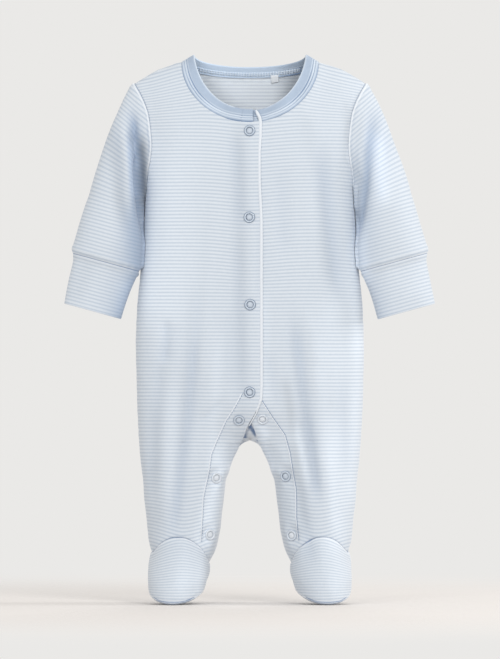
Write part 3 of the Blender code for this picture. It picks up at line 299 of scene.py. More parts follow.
WELD, SHARED = 0.02, 0.05  # points nearer than this are one, in a sheet and between sheets
TOP_OFFSET = 1.0  # how far the stripes of the right front lie lower than the left front's
SHOULDER_STRETCH, SHOULDER_TOP = 0.35, 0.06  # share of the cloth's backward curve that its stripes show
STRIPE_SMILE, SMILE_WIDTH, SMILE_SHARE = 9.5, 23.0, 0.55  # how far the leg's stripes dip above the foot
SMILE_TOP, SMILE_FADE = -390.0, 100.0
CHEST_SAG, SAG_WIDTH = 3.4, 32.0  # how far the fronts' stripes dip at the middle of the chest
SAG_TOP, SAG_END = -45.0, -250.0
SIDE_FALL, SIDE_FALL_START = 0.09, 70.0  # how steeply, and from where, they fall away at the left side
SIDE_FALL_TOP, SIDE_FALL_END = -90.0, -260.0
SHOULDER_TILT, TILT_START, TILT_END, TILT_FADE = 0.26, 50.0, -75.0, 55.0  # and beside the neck, to the sides
CAP_LEAN, CAP_BEND, CAP_BEND_LENGTH = 26.0, 25.0, 85.0  # the sleeve's grain leans in above this place
FOOT_STRETCH = 1.245  # the foot's cloth, for each mm of its height
FOOT_ARCHES = ((-545, -0.004), (-530, 0.0), (-508, 0.009), (-482, 0.022))  # height, how much its stripes arch
SOLE_ROWS, SLEEVE_ROWS, CUFF_ROWS, BAND_ROWS = 20, 34, 26, 34
EDGE_STEPS = np.array([0.7, 0.35, 0.12, 0.0])  # rows close to a free edge
BAND_GROOVES = (3.2, 5.5)  # the neckband's stitch rows, from its sewn edge
BAND_GROOVE_DEPTH, BAND_HEIGHT, BAND_FIRST = 0.7, 13.0, 0.09

# Stitches
LEFT_STITCHES = (  # x, z: seen from the front
    (11.5, -343), (22.5, -360), (34.5, -377), (39.5, -395), (40.5, -402), (45.2, -429.6), (45.8, -442),
    (45.8, -459), (46.9, -471), (48.2, -483),
)
RIGHT_STITCHES = (
    (-7.7, -334), (-12.8, -344), (-17.0, -351.5), (-24.6, -363), (-33.2, -382), (-39.0, -396.4),
    (-40.9, -410.7), (-46.9, -439), (-47.8, -457), (-48.4, -469), (-49.5, -484),
)
STITCH_RADIUS, STITCH_PITCH = 0.27, 2.6
STITCH_ASIDE = -0.95  # the stitches' distance from the middle of the roll beside them
STITCH_ROLL = (0.6, 0.36)  # half width and half height of the cloth's roll under a stitch line
OVERLOCK_PITCH, OVERLOCK_LENGTH, OVERLOCK_RADIUS = 1.6, 5.4, 0.36

# The scene
CAMERA_PLACE = (0.0, -9.0, -0.2714)  # metres, as are the next lines
SENSOR, FRONT_DEPTH, VIEW_HEIGHT = 36.0, 0.02, 0.659  # sensor in mm; the view's height at this depth
FLOOR_GAP, FLOOR_RADIUS, FLOOR_SIDES = 0.0004, 1.6, 96
LAMP_TARGET = (0.0, 0.0, -0.27)

# Colours, 0 to 255, each from one shade to another
JERSEY_LIGHT = ((192, 199, 207), (200, 206, 213))
JERSEY_DARK = ((172, 182, 194), (181, 190, 201))
# Dark seam lines, and painted shadow lines where the fronts part over the back.
SEAM_AND_SHADOW_LINE_COLOUR = (100, 122, 156)
SHADE_COLOUR = (120, 142, 172)  # painted shade: the cloth deep in a fold, on the arms' inner sides and where the fronts part
PAINTED_LIGHT_INSIDE_COLOUR = (217, 225, 235), (237, 243, 249)  # painted light on the jersey's wrong side, and on the back where the fronts part: dark and light stripes
# Painted highlights and painted light: the pale colour along edges and ridges, where the fronts part, and on
# some snaps' rings.
PAINTED_HIGHLIGHT_COLOUR = (218, 222, 227)
RIB_COLOUR = ((149, 163, 181), (159, 173, 191))
# Painted shade in the rib's grooves and at its seam, painted highlights on its ridges and edge, and painted
# light on its inner side.
RIB_GROOVE_SHADE, RIB_RIDGE_HIGHLIGHT, RIB_PAINTED_LIGHT_INSIDE = (104, 126, 158), (204, 213, 223), (184, 200, 219)
RIB_LINES = (  # painted shade and highlight lines: distance from the sewn edge, half width, strength, colour
    (0.0, 1.0, 0.9, RIB_GROOVE_SHADE), (3.2, 0.7, 0.85, RIB_GROOVE_SHADE), (5.5, 0.7, 0.85, RIB_GROOVE_SHADE),
    (1.9, 0.9, 0.55, RIB_RIDGE_HIGHLIGHT), (4.35, 0.8, 0.7, RIB_RIDGE_HIGHLIGHT), (6.8, 0.9, 0.35, RIB_RIDGE_HIGHLIGHT),
)
BINDING_COLOUR = ((200, 205, 212), (208, 213, 219))
ROLL_COLOUR = ((204, 209, 216), (212, 217, 223))
LABEL_COLOUR = ((222, 227, 233), (232, 236, 241))
THREAD_COLOUR = ((132, 150, 174), (150, 166, 188))
# The left stitch line's thread is darker: painted shadow beside its roll.
SHADOWED_THREAD_COLOUR = ((112, 132, 160), (128, 148, 174))
LOOP_COLOUR = ((214, 224, 236), (222, 231, 240))
THREAD_SCALE = 2500.0
MIDDLE_COLOUR = ((176, 185, 196), (184, 193, 204))
# The rings' pale paint, and painted shadow at their edges.
RING_AND_EDGE_SHADOW_COLOUR = ((176, 186, 198), (96, 114, 138))
WORLD_COLOUR, WORLD_STRENGTH = (234, 233, 231), 1.0
FLOOR_COLOUR = ((214, 210, 207), (216, 212, 209))
FLOOR_FADE = (0.2, 1.3)  # the floor fades into the world's pale colour between these distances, in metres
LAMPS = (  # name, place in metres, size in metres, power in watts, tint
    ("key", (1.2, -2.9, 1.4), 1.0, 40.0, (1.0, 0.99, 0.975)),
    ("side", (3.0, 0.3, 0.7), 1.0, 42.0, (1.0, 0.995, 0.985)),
    ("front", (-1.5, -4.0, 0.45), 1.4, 48.0, (0.985, 0.995, 1.0)),
    ("back", (0.3, 2.6, 1.3), 1.0, 18.0, (1.0, 1.0, 1.0)),
)

STITCHES = (  # name, line, length of a stitch, thread and its colour
    ("left", LEFT_STITCHES, 2.86, "thread_in_painted_shadow", SHADOWED_THREAD_COLOUR),
    ("right", RIGHT_STITCHES, 1.9, "thread", THREAD_COLOUR),
)

# Resolution
TRUNK_COLUMNS = 70  # in each quarter of the trunk
COARSE_COLUMNS = 10  # columns of the solids, which set how wide the snap strips are
ARMHOLE_COLUMNS = 56
YOKE_ROWS = 46
FORK_ROWS = 26
TRUNK_STEP = 2.4
LEG_HEIGHTS = np.linspace(-385.0, -441.0, 29)
ANKLE_ROWS = 30
FOOT_ROWS = 40
CAP_ROWS = 40
CROWDING = 0.86  # how much closer rows and columns lie beside a seam


def shares(count, start=False, end=False):
    """Places from 0 to 1, closer together at the ends that are named."""
    place = np.linspace(0.0, 1.0, count + 1)
    if start and end:
        return place - CROWDING * np.sin(2 * np.pi * place) / (2 * np.pi)
    lean = CROWDING * (int(end) - int(start))
    return place + lean * np.sin(np.pi * place) / np.pi


def unit(vectors):
    """Vectors of length 1. One without length stays so."""
    return vectors / np.maximum(np.linalg.norm(vectors, axis=-1, keepdims=True), 1e-12)


def ease(value):
    """0 below 0, 1 above 1, with a smooth step between."""
    value = np.clip(value, 0.0, 1.0)
    return value * value * (3.0 - 2.0 * value)


def bell(value, width):
    """1 at 0, fading to both sides over this width."""
    return np.exp(-((value / width) ** 2))


def circle(count):
    """Turns of points spaced evenly round a circle."""
    return np.arange(count) * 2 * math.pi / count


def run_along(line):
    """How far along a line each of its points lies."""
    return np.concatenate([[0.0], np.cumsum(np.linalg.norm(np.diff(line, axis=0), axis=1))])


def numbers(points):
    """The numbers of a grid's points."""
    return np.arange(points[..., 0].size).reshape(points.shape[:-1])


def curve(table, column=1):
    """A smooth function through a column of a table against its first column, without overshoot."""
    rows = sorted(table)
    x = np.array([row[0] for row in rows], float)
    y = np.array([row[column] for row in rows], float)
    step = np.diff(x)
    slope = np.diff(y) / step
    product = slope[1:] * slope[:-1]
    total = np.where(product > 0, slope[1:] + slope[:-1], 1.0)
    inner = np.where(product > 0, 2.0 * product / total, 0.0)
    tangent = np.concatenate([slope[:1], inner, slope[-1:]])

    def at(value):
        value = np.clip(np.asarray(value, float), x[0], x[-1])
        k = np.clip(np.searchsorted(x, value) - 1, 0, len(step) - 1)
        leave, arrive = tangent[k] * step[k], tangent[k + 1] * step[k]
        return hermite(y[k], y[k + 1], leave, arrive, (value - x[k]) / step[k])

    return at


def hermite(start, end, leave, arrive, f):
    """The point at f, from 0 to 1, on the cubic from start to end with these end tangents."""
    return (
        (2 * f**3 - 3 * f**2 + 1) * start
        + (f**3 - 2 * f**2 + f) * leave
        + (3 * f**2 - 2 * f**3) * end
        + (f**3 - f**2) * arrive
    )


side_at = curve(SIDE)
inner_at, oval_at = curve(INNER_LEG), curve(INNER_OVAL)
front_depth_at, back_depth_at = curve(DEPTH, 1), curve(DEPTH, 2)
leg_front_at, leg_back_at = curve(LEG_DEPTH, 1), curve(LEG_DEPTH, 2)
shoulder_at = curve(SHOULDER)
front_edge_at = curve(FRONT_EDGE)


def from_middle(turn):
    """How far this turn is from the front's or the back's middle."""
    return np.minimum(np.abs(turn), 180.0 - np.abs(turn))


def forked(turn, height):
    """How far the section has turned from the trunk's oval into the leg's ring, from 0 to 1.

    At the middle it follows a round crotch curve, and towards the sides it changes slowly.
    """
    down = np.clip((FORK_TOP - height) / (FORK_TOP - FORK), 0.0, 1.0)
    middle = 1.0 - np.sqrt(1.0 - down**2)
    sides = ease((LEG_START - height) / (LEG_START - LEG_FULL))
    return sides + (middle - sides) * (1.0 - ease(from_middle(turn) / CROTCH_SPREAD))


def inner_line(height):
    """How far from the middle plane the leg's inner line is. It is 0 above the crotch."""
    return np.where(height < FORK, inner_at(height), 0.0)


def body(turn, height):
    """The body's surface. The turn is 0 at the centre front, 90 at the side seam and 180 at the centre back.

    Below the crotch the same turn runs once round the leg, from its inner line and back to it. A turn below
    0 is past the centre front, on the other side.
    """
    turn, height = np.broadcast_arrays(np.asarray(turn, float), np.asarray(height, float))
    other, angle = np.sign(turn + 1e-12), np.radians(np.abs(turn))
    fork, half = forked(turn, height), side_at(height)
    across, along = np.sin(angle), np.cos(angle)
    power = 2.0 / ROUNDNESS
    depth = np.where(along > 0, front_depth_at(height), back_depth_at(height))
    trunk_x = half * np.abs(across) ** power
    trunk_y = -np.sign(along) * depth * np.abs(along) ** power
    inner, oval = inner_line(height), oval_at(height)
    leg_depth = np.where(along > 0, leg_front_at(height), leg_back_at(height))
    near = 1.0 - ease(from_middle(turn) / CROTCH_REACH)
    leg_x = (half + oval) / 2 - (half - oval) / 2 * np.cos(2 * angle) + (inner - oval) * near
    leg_y = -leg_depth * np.sin(2 * angle)
    x = other * ((1 - fork) * trunk_x + fork * leg_x)
    return np.stack([x, (1 - fork) * trunk_y + fork * leg_y, height], axis=-1)


def rounded(drop):
    """How much of its depth the chest has reached at this share of the way down from the shoulder."""
    return (1 - (1 - np.clip(drop, 0.0, 1.0)) ** SHOULDER_POWER) ** (1 / SHOULDER_POWER)


def spread(height):
    """Half the width that the trunk would have above the underarm."""
    return SIDE[0][1] + ARM_SPREAD * np.maximum(height - UNDERARM, 0.0) ** 2


def yoke(x, height, front):
    """The chest or the upper back, above the underarm, at this place seen from the front."""
    full = -DEPTH[0][1] if front else DEPTH[0][2]
    depth = full * rounded((shoulder_at(np.abs(x)) - height) / SHOULDER_ROUND)
    rounding = np.clip(1 - (np.abs(x) / spread(height)) ** ROUNDNESS, 0.0, 1.0) ** (1 / ROUNDNESS)
    return np.stack([x, depth * rounding, height], axis=-1)


def turn_at(x, height):
    """The turn at which the front is this far from the middle plane."""
    low, high = np.full(np.shape(height), -25.0), np.full(np.shape(height), 60.0)
    for _ in range(40):
        middle = (low + high) / 2
        short = body(middle, height)[..., 0] < x
        low, high = np.where(short, middle, low), np.where(short, high, middle)
    return (low + high) / 2


def edge_turn(height):
    """The turn at which a front's edge lies at this height."""
    place = front_edge_at(height)
    place = np.where(height < FORK, np.maximum(place, inner_line(height) + EDGE_OVER_INNER), place)
    return turn_at(place, height)


def ankle_seam(turn):
    """Height of the seam round the ankle: an arch over the foot, lower on the leg's inner side."""
    off = turn - ARCH_TOP_TURN
    outer, inner = (
        ANKLE_FRONT + (low - ANKLE_FRONT) * ease((away - start) / (end - start))
        for low, away, (start, end) in ((ANKLE_OUTER, off, ARCH_OUTER), (ANKLE_INNER, -off, ARCH_INNER))
    )
    behind = ANKLE_OUTER + (ANKLE_INNER - ANKLE_OUTER) * ease((turn - 90.0) / 90.0)
    return np.where(turn > 90, behind, np.where(off > 0, outer, inner))


def trunk_heights():
    """Heights of the rows from the underarm to the crotch."""
    rows = round((UNDERARM - FORK_TOP) / TRUNK_STEP)
    plain = np.linspace(UNDERARM, FORK_TOP, rows + 1)[:-1]
    rounding = np.sin(np.linspace(0, math.pi / 2, FORK_ROWS + 1))
    return np.concatenate([plain, FORK_TOP + (FORK - FORK_TOP) * rounding])


def column_heights(turn):
    """Heights of one column's rows from the underarm down. The last ones close up on the ankle seam."""
    heights = np.concatenate([trunk_heights(), LEG_HEIGHTS])
    start, seam = heights[-1], ankle_seam(turn)
    return np.append(heights, start + (seam - start) * shares(ANKLE_ROWS, end=True)[1:])


def body_grid(turns):
    """Rows of the body from the underarm to the ankle seam, with their turns and heights."""
    last = turns(ANKLE_INNER)
    heights = np.array([column_heights(turn) for turn in last]).T
    inner = column_heights(np.array(0.0))
    grid_turns = np.array([turns(height) for height in inner])
    return body(grid_turns, heights), grid_turns, heights


def front_turns(height):
    """The turns of a front's columns, from its edge to the side seam.

    At the ankle the edge meets the back.
    """
    start = LEG_HEIGHTS[-1]
    share = np.clip((height - ANKLE_INNER) / (start - ANKLE_INNER), 0.0, 1.0)
    edge = float(edge_turn(np.array(max(height, start))) * share)
    return edge + (90.0 - edge) * shares(TRUNK_COLUMNS, True, True)


def back_turns(height):
    """The turns of the back's columns, from the side seam to the centre or the inner leg."""
    return 90.0 + 90.0 * shares(TRUNK_COLUMNS, start=True)


def ankle_fade(height):
    """1 on the leg, and 0 at the ankle's lowest point, where the overlapping edges end in the seam."""
    return ease((height - ANKLE_INNER - 1.0) / 13.0)


def edge_lift(x, height, top):
    """How far a front stands off the body's surface beside its edge: the top one out, the other one in."""
    near = ease((LIFT_END - np.abs(x)) / LIFT_FADE)
    inside = LAYER_LIFT * (1.0 - 2.0 * ease((height - FORK) / LIFT_FADE))
    lift = LAYER_LIFT if top else np.where(height < FORK, LAYER_LIFT, inside)
    leg = ease((inner_at(height) + LEG_LIFT_END - np.abs(x)) / LIFT_FADE) * ankle_fade(height)
    return lift * np.where(height > FORK, near, leg)


def strip_lift(height):
    """The snap strips lie inside the fronts' leg edges. They come level with the seam at the ankle."""
    return -LAYER_LIFT * ankle_fade(height)


def back_lift(turn, height):
    """Near the inner leg the back goes in, to meet the snap strip."""
    inward = ease((turn - BACK_LIFT_TURN) / (180.0 - BACK_LIFT_TURN))
    return strip_lift(height) * inward * ease((FORK + BACK_LIFT_FADE - height) / BACK_LIFT_FADE)


def neck_turns(columns):
    """Angles of the neck seam's points, from past the centre front to the shoulder."""
    start = -math.degrees(math.asin(-front_edge_at(NECK_CENTRE - NECK_DROP) / NECK_WIDTH))
    end = math.degrees(math.acos((NECK_CENTRE - NECK_SIDE) / NECK_DROP))
    middle = 45.0
    lower = np.linspace(start, middle, TRUNK_COLUMNS + 1)
    upper = middle + (end - middle) * np.sin(np.linspace(0, math.pi / 2, columns + 1))
    return np.concatenate([lower, upper[1:]])


def front_neck(angle):
    """The front neck seam, seen from the front: x and height."""
    angle = np.radians(angle)
    return np.stack([NECK_WIDTH * np.sin(angle), NECK_CENTRE - NECK_DROP * np.cos(angle)], axis=-1)


def back_neck(share):
    """The back neck seam from the shoulder (0) to the centre back (1), seen from the front."""
    end = float(front_neck(neck_turns(ARMHOLE_COLUMNS)[-1])[0])
    angle = share * math.pi / 2
    return np.stack([end * np.cos(angle), NECK_SIDE + (NECK_BACK - NECK_SIDE) * np.sin(angle)], axis=-1)


def back_neck_shares():
    """Places of the back neck seam's points, from the shoulder (0) to the centre back (1)."""
    upper = 0.5 * (1 - np.sin(np.linspace(math.pi / 2, 0, ARMHOLE_COLUMNS + 1)))
    return np.concatenate([upper[:-1], np.linspace(0.5, 1.0, TRUNK_COLUMNS + 1)])


def armhole(front):
    """The armhole from the underarm to the shoulder's tip, seen from the front."""
    share = np.linspace(0, 1, ARMHOLE_COLUMNS + 1)
    rise = (share + (1 - np.cos(math.pi * share)) / 2) / 2
    height = UNDERARM + (ARMHOLE[-1][0] - UNDERARM) * rise
    return np.stack([curve(ARMHOLE, 1 if front else 2)(height), height], axis=-1)


def fan(neck, outline, shoulder_column, front):
    """Rows from the neck seam out to the underarm and the armhole. One side column is the shoulder seam."""
    share = shares(YOKE_ROWS, True, True)[:, None, None]
    flat = (1 - share) * neck + share * outline
    x = neck[shoulder_column][0] + (outline[shoulder_column][0] - neck[shoulder_column][0]) * share[:, 0, 0]
    seam = np.stack([x, shoulder_at(x)], axis=-1)
    pull = seam - flat[:, shoulder_column]
    reach = np.abs(np.arange(len(neck)) - (shoulder_column % len(neck)))
    flat += pull[:, None] * np.exp(-reach / (1.5 * ARMHOLE_COLUMNS / COARSE_COLUMNS))[None, :, None]
    return yoke(flat[..., 0], flat[..., 1], front)


def front_yoke():
    """The chest from the neck seam to the underarm and the armhole, from the front's edge to the shoulder."""
    row = body(front_turns(UNDERARM), UNDERARM)
    outline = np.concatenate([row[:, [0, 2]], armhole(True)[1:]])
    return fan(front_neck(neck_turns(ARMHOLE_COLUMNS)), outline, -1, True)


def back_yoke():
    """The upper back, from the shoulder to the centre back."""
    row = body(back_turns(UNDERARM), UNDERARM)
    outline = np.concatenate([armhole(False)[::-1], row[1:, [0, 2]]])
    return fan(back_neck(back_neck_shares()), outline, 0, False)


def strip_turns(height):
    """The turns of a snap strip's columns, from the inner line to its hidden edge."""
    edge = front_turns(height)[0]
    first = max(edge, STRIP_LEAST_TURN)
    step = (90.0 - edge) / COARSE_COLUMNS
    narrow = 1.0 - STRIP_NARROWING * float(ease((height - STRIP_NARROW_START) / (STRIP_TOP - FORK)))
    return np.concatenate([np.linspace(0.0, first, 3), np.linspace(first, first + 2 * step * narrow, 7)[1:]])


def strip_lifts(strip):
    """The strips' lift: more behind the crotch point, but not on the inner line, where they meet the back."""
    heights = strip[..., 2]
    more = CROTCH_LIFT * ease((heights - CROTCH_LIFT_START) / (CROTCH_LIFT_END - CROTCH_LIFT_START))
    more[:, 0] *= heights[:, 0] > FORK + 0.01
    return strip_lift(heights) - more


def sole_point(turn, inward=0.0):
    """A point of the sole, at this turn from the toe, and this share of the way in to its middle."""
    angle = np.radians(turn)
    reach = 1.0 - inward
    y = (TOE + HEEL) / 2 + (TOE - HEEL) / 2 * np.cos(angle) * reach
    taper = 1.0 - HEEL_TAPER * ease((y - TAPER_START) / TAPER_LENGTH)
    x = FOOT_AXIS - FOOT_SPLAY * y + SOLE_HALF_WIDTH * taper * np.sin(angle) * reach
    z = SOLE_TOE + SOLE_SLOPE * (y - TOE) - SOLE_BULGE * (1 - reach**2)
    return np.stack([x, y, z * np.ones_like(y)], axis=-1)


def foot_side(turns, sole_turns):
    """Columns from the ankle seam down to the sole."""
    share = shares(FOOT_ROWS, True, True)[:, None, None]
    start = body(turns, ankle_seam(turns))
    end = sole_point(sole_turns)
    centre = sole_point(np.array([90.0, 270.0])).mean(axis=0)
    length = np.linalg.norm(end - start, axis=1, keepdims=True)
    out = unit((end - centre) * np.array([1, 1, 0]))
    down = np.array([0, 0, -1])
    instep = np.maximum(np.cos(np.radians(sole_turns)), 0.0)[:, None] * np.array([0, -INSTEP, 0])
    leave = length * (SWELL * out + FOOT_LEAVE * down + instep)
    arrive = length * (FOOT_ARRIVE * down - FOOT_TUCK * out)
    return hermite(start, end, leave, arrive, share)


def foot_grids():
    """The foot's top piece and the heel part of the back."""
    side = SIDE_SEAM_TURN
    top = foot_side(front_turns(ANKLE_INNER), -side + 2 * side * shares(TRUNK_COLUMNS, True, True))
    heel = foot_side(back_turns(ANKLE_INNER), side + (360 - 2 * side) * shares(TRUNK_COLUMNS, start=True))
    return top, heel


def arm_centre(along):
    """The sleeve's axis at this distance from its start: distance from the middle plane, and height."""
    return ARM_START[0] + along * math.sin(ARM_LEAN), ARM_START[1] - along * math.cos(ARM_LEAN)


def arm_ring(along, outer, inner, depth, shift, angles):
    """An oval ring about the sleeve's axis. The angle is 0 at the outer side and 90 at the back."""
    turn = np.radians(angles)
    x, z = arm_centre(along)
    reach = (outer - inner) / 2 + (outer + inner) / 2 * np.cos(turn)
    across = x + reach * math.cos(ARM_LEAN)
    return np.stack([across, shift + depth * np.sin(turn), z + reach * math.sin(ARM_LEAN)], axis=-1)


def sleeve_inner(along):
    """Inner half width of the sleeve, which hangs just clear of the body's side."""
    x, z = arm_centre(along)
    width = 25.0
    for _ in range(8):
        width = (x - float(side_at(z - width * math.sin(ARM_LEAN))) - KEEP_CLEAR) / math.cos(ARM_LEAN)
    return width


def binding_path():
    """The binding's middle line seen from the front, from the crotch point up to the neckband's free edge."""
    heights = np.linspace(BINDING_BOTTOM, UNDERARM, 18)
    upper = np.linspace(UNDERARM, BINDING_TOP[0][1], 6)[1:-1]
    edge = np.concatenate([-front_edge_at(heights), -front_edge_at(upper)])
    line = np.stack([edge, np.concatenate([heights, upper])], axis=-1)
    way = unit(np.gradient(line, axis=0))
    out = np.stack([way[:, 1], -way[:, 0]], axis=-1)
    line = line + out * (BINDING_HALF_WIDTH - BINDING_OVERLAP)
    return np.concatenate([line, BINDING_TOP])


# The cloth's relief

def off_line(x, z, line):
    """Distance from each place to a line seen from the front, as far as REACH."""
    gap = np.full(np.shape(x), REACH)
    for (x0, z0), (x1, z1) in zip(line, line[1:]):
        length = math.hypot(x1 - x0, z1 - z0)
        share = np.clip(((x - x0) * (x1 - x0) + (z - z0) * (z1 - z0)) / length**2, 0.0, 1.0)
        gap = np.minimum(gap, np.hypot(x - x0 - share * (x1 - x0), z - z0 - share * (z1 - z0)))
    return gap


def crease(x, z, row):
    """1 on a row's line seen from the front, fading across it and past its ends."""
    x0, z0, x1, z1, width = row[:5]
    length = math.hypot(x1 - x0, z1 - z0)
    along = ((x - x0) * (x1 - x0) + (z - z0) * (z1 - z0)) / length**2
    across = ((x - x0) * (z1 - z0) - (z - z0) * (x1 - x0)) / length
    ends = ease((along + CREASE_PAST) / CREASE_FADE) * ease((1.0 + CREASE_PAST - along) / CREASE_FADE)
    return bell(across, width) * ends


def fold_height(points, arm):
    """Height of the folds on the trunk or on an arm."""
    x, y, z = points.T
    total = np.zeros(x.shape)
    for facing, rows in ((-y, FRONT_FOLDS), (y, BACK_FOLDS)):
        for row in rows:
            if arm == (max(abs(row[0]), abs(row[2])) > ARM_FOLDS and row[1] > ARM_FOLDS_END):
                total += row[5] * crease(x, z, row) * ease(facing / FACING_FADE)
    return total


def waves(points, kind, count=9):
    """A gentle unevenness: waves of seeded directions."""
    seed, spans, height = WAVES[kind]
    draw = np.random.RandomState(seed)
    total = np.zeros(len(points))
    for _ in range(count):
        way = draw.uniform(-1.0, 1.0, 3) * 2 * math.pi / np.array(spans)
        total += np.sin(points @ way + draw.uniform(0.0, 2 * math.pi))
    return total * height / math.sqrt(count)


def dimples(points):
    """The cloth is pinched round each snap."""
    total = np.zeros(len(points))
    for x, z in SNAPS.values():
        gap = np.hypot(points[:, 0] - x, points[:, 2] - z)
        total += PINCH * bell(gap, PINCH_WIDTH) + PINCH_RIM * bell(gap - PINCH_RIM_PLACE, PINCH_RIM_WIDTH)
    return total * (points[:, 1] < 0)


# Sheets

class Sheet:
    """The middle surface of one cloth piece: grids that share the points they have in common."""

    def __init__(self, name, nodes, thickness, arm=False, puff=0.0, ridge=0.0):
        self.name, self.nodes, self.thickness, self.puff, self.ridge = name, nodes, thickness, puff, ridge
        self.kind = "arm" if arm else "rib" if thickness == RIB else "trunk"
        self.grids = []

    def add(self, grid, lift, uv, mirrored=False):
        """A grid whose rows run down and whose columns run with the turn. uv is across and down the cloth."""
        grid = np.array(grid, float)
        if mirrored:
            grid[..., 0] *= -1
        self.grids.append((grid, np.broadcast_to(lift, grid.shape[:2]), np.array(uv, float), mirrored))

    def weld(self):
        """Joins the grids' shared points. It sets points, lifts, faces, each corner's uv and the border."""
        points, lifts, uvs, faces, count = [], [], [], [], 0
        for grid, lift, uv, mirrored in self.grids:
            index = numbers(grid) + count
            face = np.stack([index[:-1, :-1], index[1:, :-1], index[1:, 1:], index[:-1, 1:]], axis=-1)
            faces.append(face.reshape(-1, 4)[:, [0, 3, 2, 1] if mirrored else [0, 1, 2, 3]])
            points.append(grid.reshape(-1, 3))
            lifts.append(lift.reshape(-1))
            uvs.append(uv.reshape(-1, 2))
            count += index.size
        points, lifts, uvs, faces = (np.concatenate(parts) for parts in (points, lifts, uvs, faces))
        keys = np.round(points / WELD + 0.137).astype(np.int64)
        _, first, group = np.unique(keys, axis=0, return_index=True, return_inverse=True)
        group = group.reshape(-1)
        self.points, self.lifts = points[first], lifts[first]
        welded = group[faces]
        kept = (welded == np.roll(welded, 1, axis=1)).sum(axis=1) < 2
        self.faces, self.corner_uv = welded[kept], uvs[faces][kept]
        edges = np.stack([self.faces, np.roll(self.faces, -1, axis=1)], axis=-1).reshape(-1, 2)
        edges = edges[edges[:, 0] != edges[:, 1]]
        size = len(self.points)
        code, back = edges[:, 0] * size + edges[:, 1], edges[:, 1] * size + edges[:, 0]
        self.border = edges[~np.isin(code, back)]


def corner_normals(faces, points):
    """Each point's normal from the faces round it."""
    a, b, c, d = (points[faces[:, k]] for k in range(4))
    face = np.cross(c - a, d - b)
    total = np.zeros(points.shape)
    for k in range(4):
        np.add.at(total, faces[:, k], face)
    return unit(total)


def nearest(points, targets):
    """Each point's distance to the nearest of the targets, as far as REACH."""
    if len(targets) == 0:
        return np.full(len(points), REACH)
    tree = KDTree(len(targets))
    for n, target in enumerate(targets):
        tree.insert(target, n)
    tree.balance()
    return np.array([min(REACH, tree.find(point)[2]) for point in points])


def face_tree(parts):
    """A search tree over the faces of some pieces, each given as its points and its faces."""
    faces, count = [], 0
    for points, face in parts:
        faces.append(face + count)
        count += len(points)
    faces = np.concatenate(faces)
    triangles = np.concatenate([faces[:, [0, 1, 2]], faces[:, [0, 2, 3]]])
    doubled = (triangles == np.roll(triangles, 1, axis=1)).any(axis=1)
    points = np.concatenate([points for points, _ in parts])
    return BVHTree.FromPolygons(points.tolist(), triangles[~doubled].tolist())


def meet(sheets, values):
    """The mean of the values, over the sheets, at each place where the sheets' borders meet."""
    total, count = {}, {}
    for sheet, value in zip(sheets, values):
        for corner in np.unique(sheet.border):
            key = sheet.keys[corner]
            total[key] = total.get(key, 0.0) + value[corner]
            count[key] = count.get(key, 0) + 1
    for sheet, value in zip(sheets, values):
        for corner in np.unique(sheet.border):
            key = sheet.keys[corner]
            value[corner] = total[key] / count[key]
    return values


def build_sheets(sheets):
    """Makes the cloth pieces as closed walls. Seams sink in, and free edges are rounded."""
    owners = {}
    for n, sheet in enumerate(sheets):
        sheet.weld()
        sheet.keys = [tuple(row) for row in np.round(sheet.points / SHARED).astype(int)]
        for corner in np.unique(sheet.border):
            owners.setdefault(sheet.keys[corner], set()).add(n)
    for sheet in sheets:
        corners = np.unique(sheet.border)
        sewn = [c for c in corners if len(owners[sheet.keys[c]]) > 1]
        free = [c for c in corners if len(owners[sheet.keys[c]]) == 1]
        sheet.seam = nearest(sheet.points, sheet.points[sewn])
        sheet.edge = nearest(sheet.points, sheet.points[free])
        sheet.own = meet([sheet], [corner_normals(sheet.faces, sheet.points)])[0]
        sheet.relief = sheet.lifts + relief(sheet)
        if sheet.name.startswith(("front", "back")):
            sheet.relief += flats(sheet.points, unit(sheet.own))
    normals = [unit(normal) for normal in meet(sheets, [sheet.own for sheet in sheets])]
    middles = [sheet.points + normal * sheet.relief[:, None] for sheet, normal in zip(sheets, normals)]
    touch(sheets, middles, normals)
    middles = meet(sheets, middles)
    normals = meet(sheets, [corner_normals(sheet.faces, middle) for sheet, middle in zip(sheets, middles)])
    for sheet, middle, normal in zip(sheets, middles, normals):
        make_wall(sheet, middle, unit(normal))


def way_out(x, z):
    """A point of the front, and the way out of it there."""
    here = surface_point(x, z)
    across = surface_point(x + 1.5, z) - surface_point(x - 1.5, z)
    up = surface_point(x, z + 1.5) - surface_point(x, z - 1.5)
    normal = unit(np.cross(across, up))
    return here, normal * -np.sign(normal[1])


def flats(points, normals):
    """The cloth lies flat round the leg's snaps, and faces more to the front there."""
    total = np.zeros(len(points))
    for x, z in SNAPS.values():
        if z > LEG_SNAPS_TOP:
            continue
        centre, normal = (way * [math.copysign(1.0, x), 1, 1] for way in way_out(abs(x), z))
        centre = centre - normal * FLAT_SINK
        faced = unit(normal + np.array([0.0, -FLAT_TURN, 0.0]))
        slant = np.clip(normals @ faced, 0.3, 1.0)
        step = np.clip(((centre - points) @ faced) / slant, *FLAT_LIMITS)
        gap = np.linalg.norm(points - centre, axis=1)
        total += step * (1.0 - ease((gap - FLAT_REACH) / FLAT_FADE))
    return total


def painted_light_and_shade_of(sheet, middle):
    """Painted light and shade: how much lighter or darker the cloth is, along lines seen from the front."""
    x, y, z = middle.T
    total = sum(row[5] * crease(x, z, row) for row in PAINTED_LIGHT_AND_SHADE[sheet.kind])
    return 1.0 + total * ease((PAINTED_LIGHT_AND_SHADE_DEPTH[sheet.kind] - y) / 10.0)


def relief_of_body(points):
    """The height of the body's cloth away from its seams."""
    return fold_height(points, False) + waves(points, "trunk")


